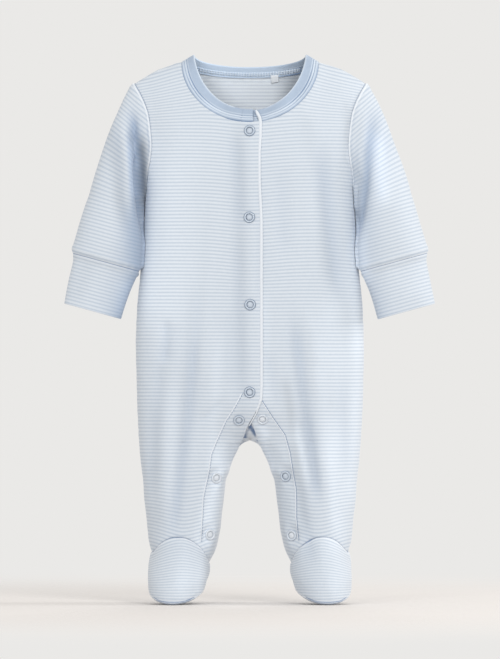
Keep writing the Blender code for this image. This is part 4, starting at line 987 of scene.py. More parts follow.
def folded_edge(sheet):
    """1 along the folded edge beside a seam. A sleeve has one at its armhole, and none at its cuff."""
    top = ease((sheet.points[:, 2] - CUFF_SEAM_TOP) / 10.0) if sheet.kind == "arm" else 1.0
    return bell(sheet.seam - RIDGE_PLACE, RIDGE_WIDTH) * top


def relief(sheet):
    """Folds, unevenness and sunk seams."""
    points, seam, z = sheet.points, sheet.seam, sheet.points[:, 2]
    quiet = ease(seam / QUIET)
    if sheet.kind == "rib":
        sheet.fold = np.zeros(len(points))
        height = waves(points, "rib")
    elif sheet.kind == "arm":
        sheet.fold = fold_height(points, True) * ease(seam / ARM_QUIET)
        height = sheet.fold + waves(points, "arm") * quiet
    else:
        near_arm = ease((UNDERARM - 30.0 - z) / 20.0)
        sheet.fold = fold_height(points, False) * np.maximum(quiet, near_arm)
        height = sheet.fold + waves(points, "trunk") * (0.35 + 0.65 * quiet) + dimples(points)
    dip = np.where((sheet.kind == "arm") & (z < CUFF_SEAM_TOP), CUFF_DIP, SEAM_DIP)
    height -= dip * bell(seam, SEAM_WIDTH)
    height += sheet.puff * bell(seam - PUFF_PLACE, PUFF_WIDTH) + sheet.ridge * folded_edge(sheet)
    return height + waves(points, "pucker") * bell(seam - PUCKER_PLACE, PUCKER_WIDTH)


def touch(sheets, middles, normals):
    """Where a sleeve hangs beside the trunk, it swells out until it nearly touches."""
    trunk = [n for n, sheet in enumerate(sheets) if sheet.name.startswith(("front", "back"))]
    tree = face_tree([(middles[n], sheets[n].faces) for n in trunk])
    for sheet, middle, normal in zip(sheets, middles, normals):
        if sheet.kind != "arm":
            continue
        side = math.copysign(1.0, middle[:, 0].mean())
        facing = normal[:, 0] * -side
        for k in np.nonzero((facing > 0.2) & (middle[:, 2] < UNDERARM + 10.0))[0]:
            _, _, _, gap = tree.ray_cast(middle[k].tolist(), (-side, 0.0, 0.0), TOUCH_REACH + CLOTH)
            if gap is None:
                continue
            room = max(0.0, gap - CLOTH - TOUCH)
            away = float(ease((sheet.seam[k] - 1.0) / 5.0))
            middle[k, 0] -= side * room * away * float(ease((TOUCH_REACH - room) / 2.0))


def shades(sheet, middle, normal):
    """What the material reads at each point: for each name, its values on the outer and the inner face.
    Besides the seam lines, these are painted highlights, light and shade.
    """
    x, y, z = middle.T
    seam, edge, side = sheet.seam, sheet.edge, int(x.mean() > 0)
    # Painted shade in the folds.
    painted_shade = np.clip(-sheet.fold / SHADE_DEPTH, 0.0, 1.0) * (1.0 if sheet.kind == "arm" else TRUNK_SHADE)
    pale = folded_edge(sheet) * (sheet.ridge > 0)
    opening = shadow = np.zeros(len(x))  # painted light on the cloth that shows where the fronts part, and painted shadow along its edges
    inner_seam = seam * (1.0 if sheet.kind == "rib" else FAINT_INSIDE)
    if sheet.kind == "arm":
        cuff = sheet.name.startswith("cuff")
        # Painted highlights: a pale line on the cuff beside its seam, and on the sleeve's folded edge near
        # the armhole.
        pale = CUFF_PALE * bell(seam - 2.0, 0.7) if cuff else pale * ease((z - RIDGE_END) / 18.0)
        fainter = np.where(z < CUFF_SEAM_TOP, CUFF_SEAM_FAINT[side], 1.0)
        seam, inner_seam = seam * fainter, inner_seam * fainter
        # Painted shade on the arm's inner side, which faces the trunk; more on the right arm.
        inward = normal[:, 0] * (-1.0 if side else 1.0)
        turned = ease((inward + 0.1) / 0.9) * ease((0.75 - normal[:, 1]) / 0.5)
        painted_shade = np.maximum(painted_shade, turned * ARM_SHADE[side])
    elif sheet.kind == "rib":
        # A painted highlight along the band's free edge, but not where its ends overlap in front.
        ends = ease((np.abs(x) - BAND_ENDS) / 4.0) + (y > 0)
        pale = pale + BAND_EDGE * bell(edge, BAND_EDGE_WIDTH) * np.clip(ends, 0.0, 1.0)
    elif sheet.name.startswith("front"):
        # Painted highlights along the front's free edge below the strips' top, and painted light beside the
        # legs' edges, more on the right front.
        leg = ease((CROTCH_LIFT_START - z) / 12.0)
        pale = pale + FRONT_EDGE_PALE * bell(edge, EDGE_WIDTH) * (z < STRIP_TOP)
        pale = np.maximum(pale, LEG_EDGE[side] * bell(edge, LEG_EDGE_WIDTH) * leg)
    elif sheet.name.startswith("back"):
        # Painted shadow lines where the fronts part over the back, also drawn as seam lines, a painted
        # highlight on the back's edge there, and painted light on the back that shows between them.
        low, seen = z > CROTCH_LIFT_START, y < SEEN_DEPTH
        gap = off_line(x, z, CROTCH_SHADOWS)
        pale = pale + bell(edge, EDGE_WIDTH) * (np.abs(x) < OPENING_EDGE) * low
        shadow = bell(gap, SHADOW_WIDTH) * (1.0 - pale.clip(0, 1)) * seen
        painted_shade = np.maximum(painted_shade, shadow * INSIDE_DEEP)
        line = np.where(seen, gap * SHADOW_LINE, REACH)
        seam, inner_seam = np.minimum(seam, line), np.minimum(inner_seam, line)
        opening = ease((OPENING_HALF_WIDTH - np.abs(x)) / 4.0) * low * (z < CROTCH_SHADOWS[1][1]) * seen
        pale = np.maximum(pale, opening * (1.0 - shadow))
    elif sheet.name.startswith("foot_top"):
        flat = np.array([1.0, 0.0, 1.0])
        away = nearest(middle * flat, sheet.points[seam < 0.3] * flat)
        toe = ease((SOLE_TOE + 12.0 - z) / 5.0) * (y < TOE / 2)
        # A painted highlight beside the arch seam.
        pale = ARCH_PALE * bell(seam - ARCH_LINE - 1.5, 0.8)
        toe_line = 1.25 * np.abs(away - TOE_LINE) + 0.08 + REACH * (1 - toe)
        seam = inner_seam = np.minimum(np.abs(seam - ARCH_LINE) + 0.25, toe_line)
    # Inner faces: painted light all over, withdrawn, with painted shade, on the wearer's left inside the
    # neck.
    neck = z > FRONT_DARK
    return {
        "seam": (seam, inner_seam),
        "pale": (pale, pale * 0),
        "painted_light_shade": (painted_light_and_shade_of(sheet, middle), 1.0 - INSIDE_TILT * np.clip(x / 40.0, -1.0, 1.0) * neck),
        "painted_shade": (painted_shade, shadow * INSIDE_DEEP),
        "inside": (opening, 1.0 - 0.9 * ease((x - 20.0) / 26.0) * neck),
    }


def make_wall(sheet, middle, normal):
    """The wall's mesh: outer and inner faces, and rims along its border."""
    half, count = sheet.thickness / 2, len(middle)
    inset = np.clip(sheet.edge / half, 0.0, 1.0)
    reach = normal * (half * np.sqrt(np.maximum(1.0 - (1.0 - inset) ** 2, LEAST_RIM**2)))[:, None]
    sheet.outer, sheet.inner = middle + reach, middle - reach
    first, second = sheet.border.T
    rims = np.stack([second, first, first + count, second + count], axis=-1)
    faces = np.concatenate([sheet.faces, sheet.faces[:, ::-1] + count, rims])
    uv_at = np.zeros((count, 2))
    uv_at[sheet.faces.reshape(-1)] = sheet.corner_uv.reshape(-1, 2)
    uv = np.concatenate([sheet.corner_uv, sheet.corner_uv[:, ::-1], uv_at[rims % count]])
    sheet.made = add_mesh(sheet.name, np.concatenate([sheet.outer, sheet.inner]), faces, uv)
    for name, values in shades(sheet, middle, normal).items():
        add_attribute(sheet.made, name, np.concatenate(values))


def add_attribute(made, name, values):
    """A number at each of the mesh's points."""
    made.data.attributes.new(name, "FLOAT", "POINT").data.foreach_set("value", np.asarray(values, np.float32))


def add_mesh(name, points, faces, uv=None, sharp=60.0):
    """A mesh piece from points in millimetres and faces as four corners, where a triangle repeats one."""
    faces = np.asarray(faces)
    corners = faces.tolist()
    doubled = (faces == np.roll(faces, 1, axis=1)).any(axis=1)
    keep = np.ones(faces.shape, bool)
    for n in np.nonzero(doubled)[0]:
        row = corners[n]
        keep[n] = [corner != row[k - 1] for k, corner in enumerate(row)]
        corners[n] = [corner for k, corner in enumerate(row) if keep[n, k]]
    mesh = bpy.data.meshes.new(name)
    mesh.from_pydata((np.asarray(points) * 0.001).tolist(), [], corners)
    if uv is not None:
        layer = mesh.uv_layers.new(name="cloth")
        layer.data.foreach_set("uv", (np.asarray(uv)[keep] * 0.01).astype(np.float32).reshape(-1))
    mesh.shade_smooth()
    mesh.set_sharp_from_angle(angle=math.radians(sharp))
    made = bpy.data.objects.new(name, mesh)
    bpy.context.scene.collection.objects.link(made)
    return made


def dress(piece, slot, material, *nodes):
    """The piece rides on the part, stands for these nodes and takes this material; the slot is not used."""
    piece.data.materials.append(material)
    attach(piece, "root")
    if nodes:
        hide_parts(*nodes)
    return piece


# The cut cloth: places across and down it set the stripes

TURNS = np.linspace(0.0, 180.0, 361)
ARC = run_along(body(TURNS, -200.0))


def across_at(turn):
    """How far round the body this turn lies, along the cloth."""
    return np.sign(turn) * np.interp(np.abs(turn), TURNS, ARC)


def stripe_place(x, z):
    """How far down the striped cloth this place on the body lies. The cloth curves back over the shoulder."""
    level = np.linspace(10.0, -120.0, 400)
    back = DEPTH[0][1] * rounded(SHOULDER_TOP - level / SHOULDER_ROUND)
    run = run_along(np.stack([level, SHOULDER_STRETCH * back], axis=-1))
    place = np.where(z > level[-1], np.interp(-z, -level, run), run[-1] + level[-1] - z)
    centre = (inner_at(z) + side_at(z)) / 2
    smile = (bell(np.abs(x) - centre, SMILE_WIDTH) - SMILE_SHARE) * ease((SMILE_TOP - z) / SMILE_FADE)
    slope = SHOULDER_TILT * np.maximum(np.abs(x) - TILT_START, 0.0) * ease((z - TILT_END) / TILT_FADE)
    return place - STRIPE_SMILE * smile - slope


def body_uv(grid, turns, offset=0.0):
    """Cloth places of a grid on the body, whose turns are known."""
    return np.stack([across_at(turns), stripe_place(grid[..., 0], grid[..., 2]) + offset], axis=-1)


def yoke_uv(grid, back, offset=0.0):
    """Cloth places of a grid above the underarm."""
    share = np.clip(np.abs(grid[..., 0]) / spread(grid[..., 2]), 0.0, 1.0)
    turn = np.degrees(np.arcsin(share ** (ROUNDNESS / 2))) * np.sign(grid[..., 0])
    across = across_at(180.0 - turn if back else turn)
    return np.stack([across, stripe_place(grid[..., 0], grid[..., 2]) + offset], axis=-1)


def front_shift(grid, left):
    """How the fronts' stripes lie off the level: they dip at the middle, and fall away at the left side."""
    x, z = grid[..., 0], grid[..., 2]
    sag = CHEST_SAG * bell(x, SAG_WIDTH) * ease((SAG_TOP - z) / 20.0) * ease((z - SAG_END) / 50.0)
    fall = SIDE_FALL * np.maximum(x - SIDE_FALL_START, 0.0)
    fall = fall * ease((SIDE_FALL_TOP - z) / 30.0) * ease((z - SIDE_FALL_END) / 50.0)
    return -sag - fall * left


def make_fronts():
    """Both fronts. The wearer's right one lies on top."""
    sheets = []
    for side, top, mirrored in (("right", True, True), ("left", False, False)):
        sheet = Sheet("front_panel_" + side, ["front_" + side], CLOTH)
        offset = TOP_OFFSET if top else 0.0
        chest = front_yoke()
        shift = offset + front_shift(chest, not top)
        sheet.add(chest, edge_lift(chest[..., 0], chest[..., 2], top), yoke_uv(chest, False, shift), mirrored)
        grid, turns, _ = body_grid(front_turns)
        lift = edge_lift(grid[..., 0], grid[..., 2], top)
        sheet.add(grid, lift, body_uv(grid, turns, offset + front_shift(grid, not top)), mirrored)
        sheets.append(sheet)
    return sheets


def make_back(heel):
    """The back with both leg backs, their snap strips and the heels."""
    sheet = Sheet("back_panel", ["back"], CLOTH)
    heights = [h for h in column_heights(np.array(180.0)) if STRIP_END - 1 < h < STRIP_TOP]
    turns = np.array([strip_turns(h) for h in heights])
    strip = np.array([body(row, h) for row, h in zip(turns, heights)])
    for mirrored in (False, True):
        grid, back, levels = body_grid(back_turns)
        sheet.add(grid, back_lift(back, levels), body_uv(grid, back), mirrored)
        upper = back_yoke()
        sheet.add(upper, 0.0, yoke_uv(upper, True), mirrored)
        sheet.add(strip, strip_lifts(strip), body_uv(strip, turns), mirrored)
        place = stripe_place(heel[:1, :, 0], heel[:1, :, 2]) + np.cumsum(
            np.linalg.norm(np.diff(heel, axis=0, prepend=heel[:1]), axis=-1), axis=0
        )
        round_heel = across_at(back_turns(ANKLE_INNER))[None, :] * np.ones((len(heel), 1))
        sheet.add(heel, 0.0, np.stack([round_heel, place], axis=-1), mirrored)
    return sheet


def foot_place(grid):
    """How far down the cloth a place on the foot's top lies. Its stripes arch most beside the seam."""
    x, z = grid[..., 0], grid[..., 2]
    off = np.clip(np.abs(x - FOOT_AXIS), 0.0, 30.0)
    return FOOT_STRETCH * (-z - curve(FOOT_ARCHES)(z) * off**2)


def make_feet(top_grid):
    """The feet's top pieces and soles."""
    sheets = []
    seam = SIDE_SEAM_TURN
    ring = np.concatenate([-seam + 2 * seam * shares(TRUNK_COLUMNS, True, True)[:-1],
                           seam + (360 - 2 * seam) * shares(TRUNK_COLUMNS, start=True)])
    for side, mirrored in (("left", False), ("right", True)):
        lift = np.zeros(top_grid.shape[:2])
        lift[0] = edge_lift(top_grid[0, :, 0], top_grid[0, :, 2], True)
        sheet = Sheet("foot_top_cloth_" + side, ["foot_top_" + side], CLOTH, puff=0.5, ridge=0.35)
        sheet.add(top_grid, lift, np.stack([top_grid[..., 0], foot_place(top_grid)], axis=-1), mirrored)
        sheets.append(sheet)
        inward = 1.0 - shares(SOLE_ROWS, end=True)[::-1]
        sole = np.array([sole_point(ring, share) for share in np.sort(inward)])
        sheet = Sheet("foot_sole_cloth_" + side, ["foot_sole_" + side], CLOTH)
        sheet.add(sole, 0.0, sole[..., :2], mirrored)
        sheets.append(sheet)
    return sheets


def arm_uv(grid, angles, width=32.0):
    """Cloth places of a grid round the arm. Its stripes cross the arm's axis, which turns in at the top."""
    steps = np.arange(-90.0, 150.0, 0.5)
    lean = ARM_LEAN + np.radians(CAP_LEAN * ease((CAP_BEND - steps) / CAP_BEND_LENGTH))
    way = np.stack([np.sin(lean), -np.cos(lean)], axis=-1)
    axis = np.cumsum(way, axis=0) * 0.5
    axis += np.array(arm_centre(100.0)) - axis[np.searchsorted(steps, 100.0)]
    flat = grid[..., [0, 2]].reshape(-1, 2)
    low, high = np.zeros(len(flat), int), np.full(len(flat), len(steps) - 1)
    for _ in range(10):
        middle = (low + high) // 2
        ahead = ((flat - axis[middle]) * way[middle]).sum(axis=1) > 0
        low, high = np.where(ahead, middle, low), np.where(ahead, high, middle)
    along = (steps[low] + ((flat - axis[low]) * way[low]).sum(axis=1)).reshape(grid.shape[:2])
    return np.stack([np.radians(angles) * width * np.ones(along.shape), along], axis=-1)


def wrapped(grid):
    """The grid with its first column again at the end, so that it closes."""
    return np.concatenate([grid, grid[:, :1]], axis=1)


def table_rows(table, places):
    """The table's rows at these places, with its other columns smoothly between."""
    columns = [curve(table, n)(places) for n in range(1, len(table[0]))]
    return np.stack([places, *columns], axis=-1)


def make_sleeve(side, mirrored):
    """A set-in sleeve: its cap from the armhole to a ring, then rings to the cuff seam."""
    back, front = armhole(False)[::-1], armhole(True)
    top = np.concatenate([yoke(back[:, 0], back[:, 1], False), yoke(front[1:-1, 0], front[1:-1, 1], True)])
    angles = np.arange(2 * ARMHOLE_COLUMNS) * 180.0 / ARMHOLE_COLUMNS
    first, last = SLEEVE[0][0], SLEEVE[-1][0]
    rings = []
    for s, out, depth, shift in table_rows(SLEEVE, first + (last - first) * shares(SLEEVE_ROWS, end=True)):
        inner = sleeve_inner(s) + (SLEEVE_INNER_END - sleeve_inner(last)) * ease((s - last + 7.0) / 7.0)
        rings.append(arm_ring(s, out, inner, depth, shift, angles))
    under = ((1 - np.cos(np.radians(angles))) / 2)[:, None]
    length = np.linalg.norm(rings[0] - top, axis=1, keepdims=True)
    leave = (1 - under) * np.array(CAP_OVER) + under * np.array(CAP_UNDER)
    leave = leave + CAP_SWELL * np.sin(np.radians(angles))[:, None] * np.array([0, 1, 0])
    leave = leave * length * (CAP_LEAVE + CAP_LEAVE_UNDER * under)
    arrive = np.array([math.sin(ARM_LEAN), 0, -math.cos(ARM_LEAN)]) * length * CAP_ARRIVE
    share = shares(CAP_ROWS, start=True)[:, None, None]
    grid = wrapped(np.concatenate([hermite(top, rings[0], leave, arrive, share), np.array(rings[1:])]))
    sheet = Sheet("sleeve_cloth_" + side, ["sleeve_" + side], CLOTH, arm=True, puff=SLEEVE_PUFF, ridge=0.7)
    sheet.add(grid, 0.0, arm_uv(grid, np.append(angles, 360.0)), mirrored)
    return sheet


def make_cuff(side, mirrored):
    """A cuff: a band that narrows to the wrist, with a rounded end."""
    angles = np.append(np.arange(2 * ARMHOLE_COLUMNS) * 180.0 / ARMHOLE_COLUMNS, 0.0)
    first, last = CUFF[0][0], CUFF[-1][0]
    places = np.concatenate([first + (last - first - 1.0) * shares(CUFF_ROWS, start=True), last - EDGE_STEPS])
    grid = np.array([arm_ring(*row, angles) for row in table_rows(CUFF, places)])
    sheet = Sheet("cuff_cloth_" + side, ["cuff_" + side], CLOTH, arm=True)
    angles[-1] = 360.0
    sheet.add(grid, 0.0, arm_uv(grid, angles, 26.0) + np.array([0.0, 1.4]), mirrored)
    return sheet


def make_neckband():
    """The rib band from under the right front's end, round the neck, to its end on top."""
    angles = neck_turns(ARMHOLE_COLUMNS)
    top_end = -math.degrees(math.asin(BAND_END / NECK_WIDTH))
    shown = back_neck_shares()
    top_angles = np.concatenate([[top_end], angles[angles > top_end + 0.4]])
    half = {}
    for side, front_angles in (("left", angles), ("right", top_angles)):
        flat = front_neck(front_angles)
        free = np.radians(front_angles * BAND_TURN)
        free_flat = np.stack([BAND_WIDTH * np.sin(free), BAND_CENTRE - BAND_DROP * np.cos(free)], -1)
        seam = yoke(flat[:, 0], flat[:, 1], True)
        edge = np.stack([free_flat[:, 0], seam[:, 1] * BAND_LEAN, free_flat[:, 1]], -1)
        back_flat = back_neck(shown)
        back_seam = yoke(back_flat[:, 0], back_flat[:, 1], False)
        turn = shown * math.pi / 2
        rise = BAND_SIDE + (BAND_BACK - BAND_SIDE) * np.sin(turn)
        back_edge = np.stack([free_flat[-1, 0] * np.cos(turn), back_seam[:, 1] * BAND_LEAN, rise], -1)
        half[side] = (np.concatenate([edge, back_edge[1:]]), np.concatenate([seam, back_seam[1:]]))
    flip = np.array([-1, 1, 1])
    edge = np.concatenate([half["left"][0], half["right"][0][::-1][1:] * flip])
    seam = np.concatenate([half["left"][1], half["right"][1][::-1][1:] * flip])
    width = np.linalg.norm(seam - edge, axis=1)
    edge_rows = EDGE_STEPS[::-1] / BAND_HEIGHT
    rise = np.concatenate([edge_rows, BAND_FIRST + (1.0 - BAND_FIRST) * shares(BAND_ROWS, end=True)])
    grid = (1 - rise[:, None, None]) * edge + rise[:, None, None] * seam
    count = len(half["left"][0])
    end_lift = BAND_LIFT * ease((LIFT_END - np.abs(grid[..., 0])) / LIFT_FADE) * (grid[..., 1] < 0)
    sign = np.where(np.arange(grid.shape[1]) < count, -1.0, 1.0)
    groove = sum(bell((1 - rise) * width.mean() - place, 0.5) for place in BAND_GROOVES)
    lift = end_lift * sign - BAND_GROOVE_DEPTH * groove[:, None]
    along = run_along(seam)
    uv = np.stack([along[None, :] * np.ones((len(rise), 1)), rise[:, None] * width[None, :]], axis=-1)
    sheet = Sheet("neckband_rib", ["neckband"], RIB)
    sheet.add(grid, lift, uv)
    return sheet


def make_tab():
    """The small blank tab that hangs inside the back neck."""
    corners = np.array(TAB)
    share = np.linspace(0, 1, 13)[:, None]
    top = corners[0] + share * (corners[1] - corners[0])
    low = corners[3] + share * (corners[2] - corners[3])
    rows = np.concatenate([[0.0], np.linspace(0.05, 0.93, 9), [1.0]])
    flat = np.array([top + f * (low - top) for f in rows])[:, ::-1]
    sheet = Sheet("neck_tab_cloth", ["neck_tab"], TAB_THICKNESS)
    grid = yoke(flat[..., 0], flat[..., 1], False)
    sheet.add(grid, TAB_LIFT, grid[..., [0, 2]])
    return sheet


# Finishes

def colour(red, green, blue):
    """A linear colour from one of 0 to 255."""
    return tuple(((v / 255 + 0.055) / 1.055) ** 2.4 for v in (red, green, blue)) + (1.0,)


class Paint:
    """A material and its nodes. What is the same all over is set on the shader itself."""

    def __init__(self, name, roughness, sheen=0.0, gloss=0.25, coat=0.0):
        self.made = bpy.data.materials.new(name)
        self.made.use_nodes = True
        self.nodes, self.links = self.made.node_tree.nodes, self.made.node_tree.links
        self.shader = self.nodes["Principled BSDF"]
        self.shader.inputs["Roughness"].default_value = roughness
        self.shader.inputs["Sheen Weight"].default_value = sheen
        self.shader.inputs["Sheen Roughness"].default_value = 0.45
        self.shader.inputs["Specular IOR Level"].default_value = gloss
        self.shader.inputs["Coat Weight"].default_value = coat

    def node(self, kind, settings=None, **inputs):
        """A node with its settings and inputs, each a value or another node's socket."""
        made = self.nodes.new("ShaderNode" + kind)
        for name, value in (settings or {}).items():
            setattr(made, name, value)
        for key, value in inputs.items():
            socket = made.inputs[int(key[1:])] if key[1:].isdigit() else made.inputs[key.replace("_", " ")]
            if isinstance(value, bpy.types.NodeSocket):
                self.links.new(value, socket)
            else:
                socket.default_value = value
        return made

    def place(self):
        """The place on the object."""
        return self.node("TexCoord").outputs["Object"]

    def cloth(self, axis):
        """The place across (0) or down (1) the cut cloth, in tenths of a metre."""
        flat = self.node("UVMap", {"uv_map": "cloth"}).outputs[0]
        return self.node("SeparateXYZ", Vector=flat).outputs[axis]

    def value(self, name):
        """The piece's own number of this name at each point."""
        return self.node("Attribute", {"attribute_name": name}).outputs["Fac"]

    def noise(self, place, scale, detail):
        """A soft random value."""
        return self.node("TexNoise", Vector=place, Scale=scale, Detail=detail).outputs[0]

    def calc(self, operation, first, second=0.0, third=0.0):
        """A sum of values."""
        return self.node("Math", {"operation": operation}, i0=first, i1=second, i2=third).outputs[0]

    def ramp(self, value, low, high, first=0.0, last=1.0, kind="SMOOTHSTEP"):
        """Goes from first to last as the value goes from low to high."""
        ends = {"From_Min": low, "From_Max": high, "To_Min": first, "To_Max": last}
        return self.node("MapRange", {"interpolation_type": kind}, Value=value, **ends).outputs[0]

    def mix(self, share, first, second):
        """A mix of two colours by a share. Each is a socket, or red, green and blue from 0 to 255."""
        first, second = (colour(*one) if isinstance(one, tuple) else one for one in (first, second))
        return self.node("Mix", {"data_type": "RGBA"}, i0=share, i6=first, i7=second).outputs[2]

    def with_painted_light_and_shade(self, paint):
        """A colour, made lighter or darker by the painted light and shade."""
        scaled = self.node("VectorMath", {"operation": "SCALE"}, i0=paint, Scale=self.value("painted_light_shade"))
        return scaled.outputs[0]

    def bump(self, height, strength, distance):
        """A bump of this height on the surface."""
        made = self.node("Bump", Strength=strength, Distance=distance, Height=height)
        self.links.new(made.outputs[0], self.shader.inputs["Normal"])

    def knit(self, strength, scale):
        """The knit's small loops and the cloth's softness, as a bump. It gives the place on the object."""
        place = self.place()
        loops, soft = self.noise(place, scale, 3.0), self.noise(place, scale / 9, 2.0)
        self.bump(self.calc("MULTIPLY_ADD", soft, 1.4, loops), strength, 0.0004)
        return place

    def done(self, paint):
        """The material, in this colour."""
        self.links.new(paint, self.shader.inputs["Base Color"])
        return self.made


def jersey():
    """Yarn-dyed striped jersey. The stripes follow the cloth's own places; its seam lines are darker, and
    painted shade, highlights and light are mixed in.
    """
    paint = Paint("striped_jersey_cloth", 0.92, 0.25)
    place = paint.knit(0.35, 900.0)
    shifted = paint.calc("MULTIPLY_ADD", paint.noise(place, 14.0, 2.0), 0.012, paint.cloth(1))
    wave = paint.calc("SINE", paint.calc("MULTIPLY", shifted, 2 * math.pi * 100 / STRIPE))
    band, fleck = paint.ramp(wave, -0.65, 0.3), paint.noise(place, 420.0, 4.0)
    stripes = paint.mix(band, paint.mix(fleck, *JERSEY_DARK), paint.mix(fleck, *JERSEY_LIGHT))
    painted_light_inside = paint.mix(band, *PAINTED_LIGHT_INSIDE_COLOUR)
    # Painted light on the inner faces, painted shade in folds and shadows, and painted highlights along
    # edges.
    layers = ("inside", 0.9, painted_light_inside), ("painted_shade", 0.6, SHADE_COLOUR), ("pale", 0.8, PAINTED_HIGHLIGHT_COLOUR)
    for name, most, other in layers:
        stripes = paint.mix(paint.calc("MULTIPLY", paint.value(name), most), stripes, other)
    # Dark seam lines, and painted shadow lines where the fronts part.
    line = paint.ramp(paint.value("seam"), 0.2, 0.95, 0.9, 0.0)
    return paint.done(paint.mix(line, paint.with_painted_light_and_shade(stripes), SEAM_AND_SHADOW_LINE_COLOUR))


def plain_cloth(name, shades_of_it, scale=700.0):
    """A plain cloth or thread of one slightly varied colour."""
    paint = Paint(name, 0.9, 0.25)
    place = paint.knit(0.4, scale)
    return paint.done(paint.mix(paint.noise(place, scale / 2, 4.0), *shades_of_it))


def rib():
    """The neckband's fine rib, with painted shade in the dips of its stitch rows and at its seam, painted
    highlights on its ridges and edge, and painted light on its inner side.
    """
    paint = Paint("blue_rib_cloth", 0.9, 0.3)
    place = paint.place()
    wales = paint.calc("SINE", paint.calc("MULTIPLY", paint.cloth(0), 2 * math.pi * 100 / RIB_PITCH))
    paint.bump(paint.calc("MULTIPLY_ADD", wales, 0.35, paint.noise(place, 1100.0, 3.0)), 0.4, 0.0003)
    blue = paint.mix(paint.noise(place, 300.0, 4.0), *RIB_COLOUR)
    blue = paint.mix(paint.value("pale"), blue, RIB_RIDGE_HIGHLIGHT)
    seam, inside = paint.value("seam"), paint.value("inside")
    for off, reach, most, painted_light_shade in RIB_LINES:
        away = paint.calc("ABSOLUTE", paint.calc("SUBTRACT", seam, off))
        blue = paint.mix(paint.ramp(away, 0.1, reach, most, 0.0), blue, painted_light_shade)
    blue = paint.mix(paint.calc("MULTIPLY", inside, 0.97), blue, RIB_PAINTED_LIGHT_INSIDE)
    return paint.done(paint.with_painted_light_and_shade(blue))


def ring_paint():
    """Pale paint on the snaps' rings, with painted shadow at their edges and a painted highlight on some
    rings.
    """
    paint = Paint("painted_ring", 0.35, gloss=0.5, coat=0.3)
    grain = paint.noise(paint.place(), 900.0, 3.0)
    paint.bump(grain, 0.08, 0.0001)
    grain_and_painted_shadow = paint.calc("MULTIPLY_ADD", grain, 0.12, paint.value("painted_edge_shadow"))
    return paint.done(paint.mix(paint.value("pale"), paint.mix(grain_and_painted_shadow, *RING_AND_EDGE_SHADOW_COLOUR), PAINTED_HIGHLIGHT_COLOUR))


# Trims

class Surface:
    """The outer or the inner face of some sheets, to lay things on."""

    def __init__(self, sheets, inner=False):
        self.tree = face_tree([(sheet.inner if inner else sheet.outer, sheet.faces) for sheet in sheets])

    def at(self, x, z):
        """The point at this place seen from the front, and the way out there."""
        found, normal, _, _ = self.tree.ray_cast((x, -400.0, z), (0, 1, 0))
        if found is None:
            raise ValueError("no cloth at %.1f, %.1f" % (x, z))
        return np.array(found), np.array(normal) * (1 if normal[1] < 0 else -1)

    def within(self, x, z):
        """The point met behind the neck opening's middle, or none."""
        found = self.tree.ray_cast((x, -4.0, z), (0, 1, 0))[0]
        return None if found is None else np.array(found)

    def plane(self, x, z, reach=4.0):
        """The plane that best lies on the front round this place: a point, and the way out."""
        turn = circle(8)
        middle = self.at(x, z)[0]
        ring = np.array([self.at(x + reach * math.cos(t), z + reach * math.sin(t))[0] for t in turn])
        across = (ring * np.cos(turn)[:, None]).sum(axis=0)
        up = (ring * np.sin(turn)[:, None]).sum(axis=0)
        normal = unit(np.cross(across, up))
        normal *= -np.sign(normal[1])
        height = ((ring - middle) @ normal).mean()
        return middle + normal * 0.5 * height, normal


def spaced(line, pitch):
    """Places along a line at this pitch, and the line's direction at each."""
    line = np.asarray(line, float)
    run = run_along(line)
    count = max(2, int(run[-1] / pitch))
    places = (np.arange(count) + 0.5) * run[-1] / count
    at, ahead, behind = (
        np.stack([np.interp(places + step, run, column) for column in line.T], axis=-1)
        for step in (0.0, 0.3, -0.3)
    )
    return at, unit(ahead - behind)


def ring_faces(a, b):
    """Faces between two rings of points, each given by its points' numbers."""
    return np.stack([a, np.roll(a, -1, axis=-1), np.roll(b, -1, axis=-1), b], axis=-1).reshape(-1, 4)


def stitch_mesh(name, centres, ways, outs, length, radius):
    """Many small stitches, each a short arched thread that goes into the cloth at both ends."""
    turn = circle(6)
    place = np.linspace(-0.5, 0.5, 5)
    arch = np.sqrt(np.maximum(1 - (2 * place) ** 2, 0.0))
    thick = radius * (0.35 + 0.65 * arch)
    centres, ways, outs = (np.asarray(v, float)[:, None, None] for v in (centres, ways, outs))
    points = (
        centres
        + ways * (place * length)[None, :, None, None]
        + outs * ((arch - 0.6) * radius * 1.4)[None, :, None, None]
        + unit(np.cross(ways, outs)) * (thick[:, None] * np.cos(turn))[None, ..., None]
        + outs * (thick[:, None] * np.sin(turn))[None, ..., None]
    )
    index = numbers(points)
    return add_mesh(name, points.reshape(-1, 3), ring_faces(index[:, :-1], index[:, 1:]))


def sewn_line(surface, line, pitch=STITCH_PITCH, gap=0.0):
    """Stitches along a line seen from the front: centres, ways and outs."""
    at, way = spaced(line, pitch)
    at = at + np.stack([way[:, 1], -way[:, 0]], axis=-1) * gap
    rows = []
    for (x, z), (across, up) in zip(at, way):
        place, out = surface.at(x, z)
        rows.append((place, unit(np.array([across, -(out[0] * across + out[2] * up) / out[1], up])), out))
    return (np.array(column) for column in zip(*rows))


def neck_overlock(inside):
    """The overlock's small upright loops on the band's inner side, across the back neck."""
    end = float(front_neck(neck_turns(ARMHOLE_COLUMNS)[-1])[0])
    rows = []
    for x in np.arange(-50.0, 50.1, OVERLOCK_PITCH):
        seam = NECK_SIDE + (NECK_BACK - NECK_SIDE) * math.sin(math.acos(x / end))
        low, high = inside.within(x, seam + 0.7), inside.within(x, seam + 5.0)
        if low is None or high is None:
            continue
        way = unit(high - low)
        out = unit(np.cross(way, [1.0, 0.0, 0.0]))
        out = out * -np.sign(out[1])
        rows.append(((low + high) / 2 + out * 0.3, way, out))
    return zip(*rows)


